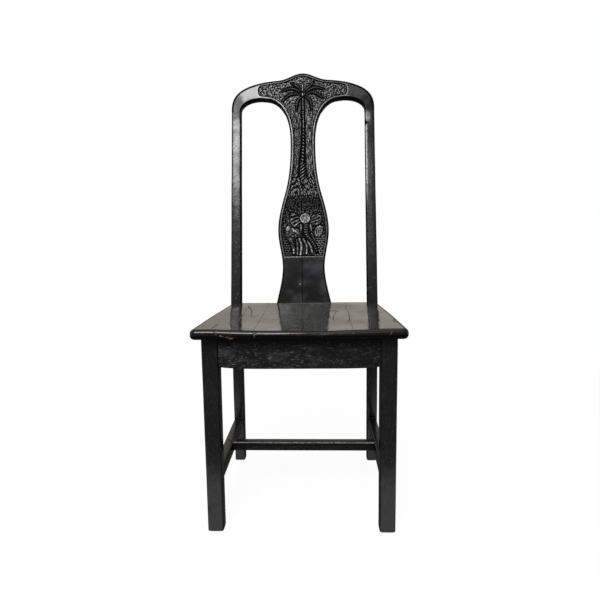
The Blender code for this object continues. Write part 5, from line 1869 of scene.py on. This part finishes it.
def carved(u, v):
    """How far the face lies behind the blank's front, the outline's distance, and the marks.

    Outside the field only the outline's rounding counts. Inside it the ground and the forms
    stand up from the field's depth, and a groove follows the border. High points get a painted
    highlight that also stands for rubbing, and the border and the field's rim get painted highlight
    lines ("highlit_and_rubbed"); hollows are painted black as shade ("sunk") and, like the rasped
    edge, have no shine and a darkened colour ("matt").
    """
    distance, under_top = outline_distance(u, v)
    inside = field_inside(u, v, distance)
    height = palm(u, v, leaf(u, v, ground(u, v)))
    height = elephant_head(u, v, elephant_body(u, v, height))
    in_field = smooth_step(-0.2, 1.2, inside)
    full = smooth_step(1.2, 3.6, inside)
    level = np.minimum(height, FIELD_DEPTH) * full - GROOVE * (1 - full)
    depth = FIELD_DEPTH - level
    face = rolled(distance, EDGE_ROUND) + in_field * depth
    waver = BOARD_WAVER * waves(np.stack([u, v], axis=-1), BOARD_WAVER_LENGTH, FACE_SEED)
    face = face + waver * (1 - in_field)
    # Painted highlight lines: one along the border's middle, one just outside the field.
    bead_highlight = bell(distance - HIGHLIGHT_LINE_AT, HIGHLIGHT_LINE_HALF) * (inside > -8)
    below_top = (v > ARCH_TOP + 10) & (np.abs(u) < FIELD_END)
    bead_highlight = np.where(below_top, BEAD_TOP_HIGHLIGHT_GREY, BEAD_HIGHLIGHT_GREY) * bead_highlight
    rim = np.where(np.abs(u) > ARCH_MIDDLE, RIM_END_HIGHLIGHT_GREY, RIM_HIGHLIGHT_GREY) * bell(inside + RIM_AT, RIM_HALF)
    edge = np.maximum(bead_highlight, rim) * (1 - in_field)
    rasped = np.where(under_top, RASPED_TOP, RASPED)
    rough_edge = 1 - smooth_step(rasped - RASPED_FADE, rasped + RASPED_FADE, distance)
    return face, distance, {
        "sunk": in_field * np.clip(depth / FIELD_DEPTH, 0, 1),
        "highlit_and_rubbed": in_field * full * smooth_step(PROUD_FROM, PROUD_FULL, height) + edge,
        "matt": np.maximum(rough_edge, in_field * (1 - smooth_step(0.0, 1.2, level))),
        "rub": bell(distance - 1.2, 1.2),
        "tired": 1 - smooth_step(*GRIP, np.hypot(np.abs(u) - CREST_HALF, v - CREST_JOINT)),
    }


print("heights are rubbed from", PROUD_FROM, "mm on, and fully at", PROUD_FULL, "mm")

# %% [markdown]
# ### Onto the raked back
# So far the back is a drawing on a level bench. Leaning it by the rake is a turn about the line
# where it meets the seat. An object's rotation could do that, but a piece's place belongs in its
# mesh, so the turn is part of the formula.


# %% Onto the raked back
def both_sides(marks, behind):
    """The marks of a carved face, followed by plain ones for the back of the board."""
    return {name: over_under(values, behind.get(name, 0) + 0 * values) for name, values in marks.items()}


def on_back(u, behind, v):
    """Points of the raked back, in metres, from across, behind the face and up from the seat."""
    y = POST_FACE + v * math.sin(RAKE) + behind * math.cos(RAKE)
    z = SEAT_TOP + v * math.cos(RAKE) - behind * math.sin(RAKE)
    return np.stack([u, y, z], axis=-1) * MM


print(f"rake: {math.degrees(RAKE):.1f} degrees")

# %% [markdown]
# ## Crest and splat
# The crest caps the posts in one board, and the splat stands between it and the seat. Both are
# slabs again: a grid that follows the outline, the carved height in front, a flat back, and the
# same rounding on both edges. The crest's columns lie closer where it is carved, its rows at its
# edges.

# %% Crest
CARVED_STEPS, ARCH_STEPS, SHOULDER_STEPS = 158, 34, 26   # stations from the middle to one end
CREST_ROWS = 108
ROW_CROWDING = 0.42              # how much closer rows lie at both edges
END_INSET = 0.02                 # the last station lies so far inside the crest's end
CARVED_CREASE = 75

carve_u = np.linspace(0, FIELD_END + 1, CARVED_STEPS)
first_turn = math.asin((carve_u[-1] - ARCH_MIDDLE) / ARCH_RUN)
arch_run_u = ARCH_MIDDLE + ARCH_RUN * np.sin(np.linspace(first_turn, math.pi / 2, ARCH_STEPS)[1:])
shoulder_turn = np.linspace(0, math.pi / 2, SHOULDER_STEPS)[1:]
shoulder_u = CREST_INNER + (CREST_HALF - CREST_INNER - END_INSET) * np.sin(shoulder_turn)
right_u = np.concatenate([carve_u, arch_run_u, shoulder_u])
stations = np.concatenate([-right_u[:0:-1], right_u])[:, None]
even = np.linspace(0, 1, CREST_ROWS)
share = even - ROW_CROWDING * np.sin(2 * math.pi * even) / (2 * math.pi)
low_edge, high_edge = crest_bottom(stations), crest_top(stations)
v = low_edge + (high_edge - low_edge) * share
u = np.broadcast_to(stations, v.shape)
face, distance, marks = carved(u, v)
rear = CREST_THICKNESS - rolled(distance, EDGE_ROUND)
points, faces = slab(on_back(u, face, v), on_back(u, rear, v))
add_piece(
    "carved_crest", points, faces, "carved_lacquer", ["crest_rail"], CARVED_CREASE,
    **both_sides(marks, {"matt": OUTSIDE, "rub": marks["rub"]}),
)

# %% [markdown]
# ### The splat
# The splat is two boards glued near the middle. Their seam is hidden in the carving and has opened
# in the plain foot, where a chip has gone too. Each board is a slab between the seam and the
# outline. The foot leans with the back but is cut level, so that it stands flush on the seat.

# %% Splat
SPLAT_THICKNESS = 20.0
SPLAT_SEAM = -4.0
SPLAT_SEAM_GAP = 0.02
SEAM_OPENING = 0.9               # how far the seam's edges are worn back in the plain foot
CHIP_PLACE, CHIP_SIZE = (-10.4, 53.0), (1.5, 2.4)
FOOT_LEVELLING = 60.0            # the foot is cut level with the seat over this height
FOOT_BARE, FOOT_LINE = 0.75, (0.2, 1.4)    # the line of bare wood where the foot meets the seat
OPEN_HALF, OPEN_BARE = 1.1, 0.36           # half width of the dry open seam, and its wood
SPLAT_ROWS, SPLAT_SPACING = 505, 1.0
EDGE_BAND, SEAM_BAND = 6.0, 1.6  # columns lie closer together so near to edge and seam

heights = np.linspace(0, CREST_JOINT - JOINT_GAP, SPLAT_ROWS)
half_width = splat_half(heights)
edge_steps = EDGE_BAND * np.linspace(0, 1, 15) ** 1.6
seam_steps = SEAM_BAND * np.linspace(0, 1, 5)
for side, label in LEFT_RIGHT:
    seam_line = np.stack([0 * heights + SPLAT_SEAM + side * SPLAT_SEAM_GAP / 2, heights], axis=1)
    side_line = np.stack([side * half_width, heights], axis=1)
    grid, from_seam, _ = plan(seam_line, side_line, seam_steps, edge_steps, SPLAT_SPACING)
    u, v = grid[..., 0], grid[..., 1]
    face, distance, marks = carved(u, v)
    plain = 1 - smooth_step(FIELD_LEDGE - 4, FIELD_LEDGE - 1, v)
    face = face + plain * rolled(from_seam, SEAM_OPENING)
    rear = SPLAT_THICKNESS - rolled(distance, EDGE_ROUND)
    foot = np.clip(1 - v / FOOT_LEVELLING, 0, 1)
    level = [(JOINT_GAP + b * math.sin(RAKE)) / math.cos(RAKE) * foot for b in (face, rear)]
    points, faces = slab(on_back(u, face, v + level[0]), on_back(u, rear, v + level[1]))
    chip = np.hypot((u - CHIP_PLACE[0]) / CHIP_SIZE[0], (v - CHIP_PLACE[1]) / CHIP_SIZE[1])
    chipped, by_seat = np.clip(1.4 - chip, 0, 1), 1 - smooth_step(*FOOT_LINE, v)
    open_seam = plain * bell(from_seam, OPEN_HALF)
    marks["bare"] = np.maximum(np.maximum(chipped, FOOT_BARE * by_seat), OPEN_BARE * open_seam)
    marks["matt"] = np.maximum(marks["matt"], open_seam)
    add_piece(
        f"carved_splat_{label}", points, faces, "carved_lacquer", [f"splat_{label}"], CARVED_CREASE,
        **both_sides(marks, {"matt": OUTSIDE, "rub": marks["rub"]}),
    )

# %% [markdown]
# ## Under the seat
# A diagonal block sits in each corner of the seat frame and a screw goes up through it into the
# seat. The blocks' solids are right as they are and only need their stain. The screws get what
# their solids leave out: a slot and a thread.

# %% Blocks and screws
SCREW_LENGTH = 36.0
SCREW_SHANK, SCREW_HEAD = 2.1, 4.3
HEAD_DEPTH, HEAD_RIM = 3.2, 0.6
POINT_LENGTH, TIP = 7.0, 0.5
PITCH = 2.4
THREAD = 0.45                    # depth
THREAD_FROM = (SCREW_LENGTH * 0.35, SCREW_LENGTH * 0.42)
TURN_POINTS, FACE_RINGS, SHANK_RINGS = 64, 16, 150
EYE = 0.15                       # radius of the small flat in the middle of the head
SLOT_HALF, SLOT_DEPTH = 0.55, 1.1


def screw_points(base):
    """A turned profile, with a helical thread on the shank and a slot across the head."""
    turn = np.linspace(0, 2 * math.pi, TURN_POINTS, endpoint=False)
    face_r = np.linspace(EYE, SCREW_HEAD, FACE_RINGS)
    rise = np.linspace(HEAD_DEPTH, SCREW_LENGTH, SHANK_RINGS)
    profile_r = np.interp(rise, [SCREW_LENGTH - POINT_LENGTH, SCREW_LENGTH], [SCREW_SHANK, TIP])
    radius = np.concatenate([face_r, [SCREW_HEAD], profile_r])[:, None]
    z = np.concatenate([0 * face_r, [HEAD_RIM], rise])[:, None] + 0 * turn
    phase = z / PITCH - turn / (2 * math.pi)
    thread = np.abs(2 * (phase % 1) - 1) - 1
    cut = smooth_step(*THREAD_FROM, z) * radius / SCREW_SHANK
    radius = radius + THREAD * thread * cut
    x, y = radius * np.cos(turn), radius * np.sin(turn)
    on_face = (z == 0) & (np.abs(y) < SLOT_HALF) & (radius < SCREW_HEAD)
    z = np.where(on_face, SLOT_DEPTH, z)
    return (np.stack([x, y, z], axis=-1) + base) * MM


for end in ("front", "rear"):
    for _, label in LEFT_RIGHT:
        corner = f"{end}_{label}"
        block = frame["nodes"][f"corner_block_{corner}"]
        for slot in block.material_slots:
            slot.material = FINISHES["stained_block"]
        low, high = box_mm(f"seat_screw_{corner}")
        base = np.array([*((low + high) / 2)[:2], low[2]])
        points = screw_points(base)
        add_piece(
            f"screw_{corner}", points, tube(points.shape[:2]), "screw_steel",
            [f"seat_screw_{corner}"], BAR_CREASE,
        )
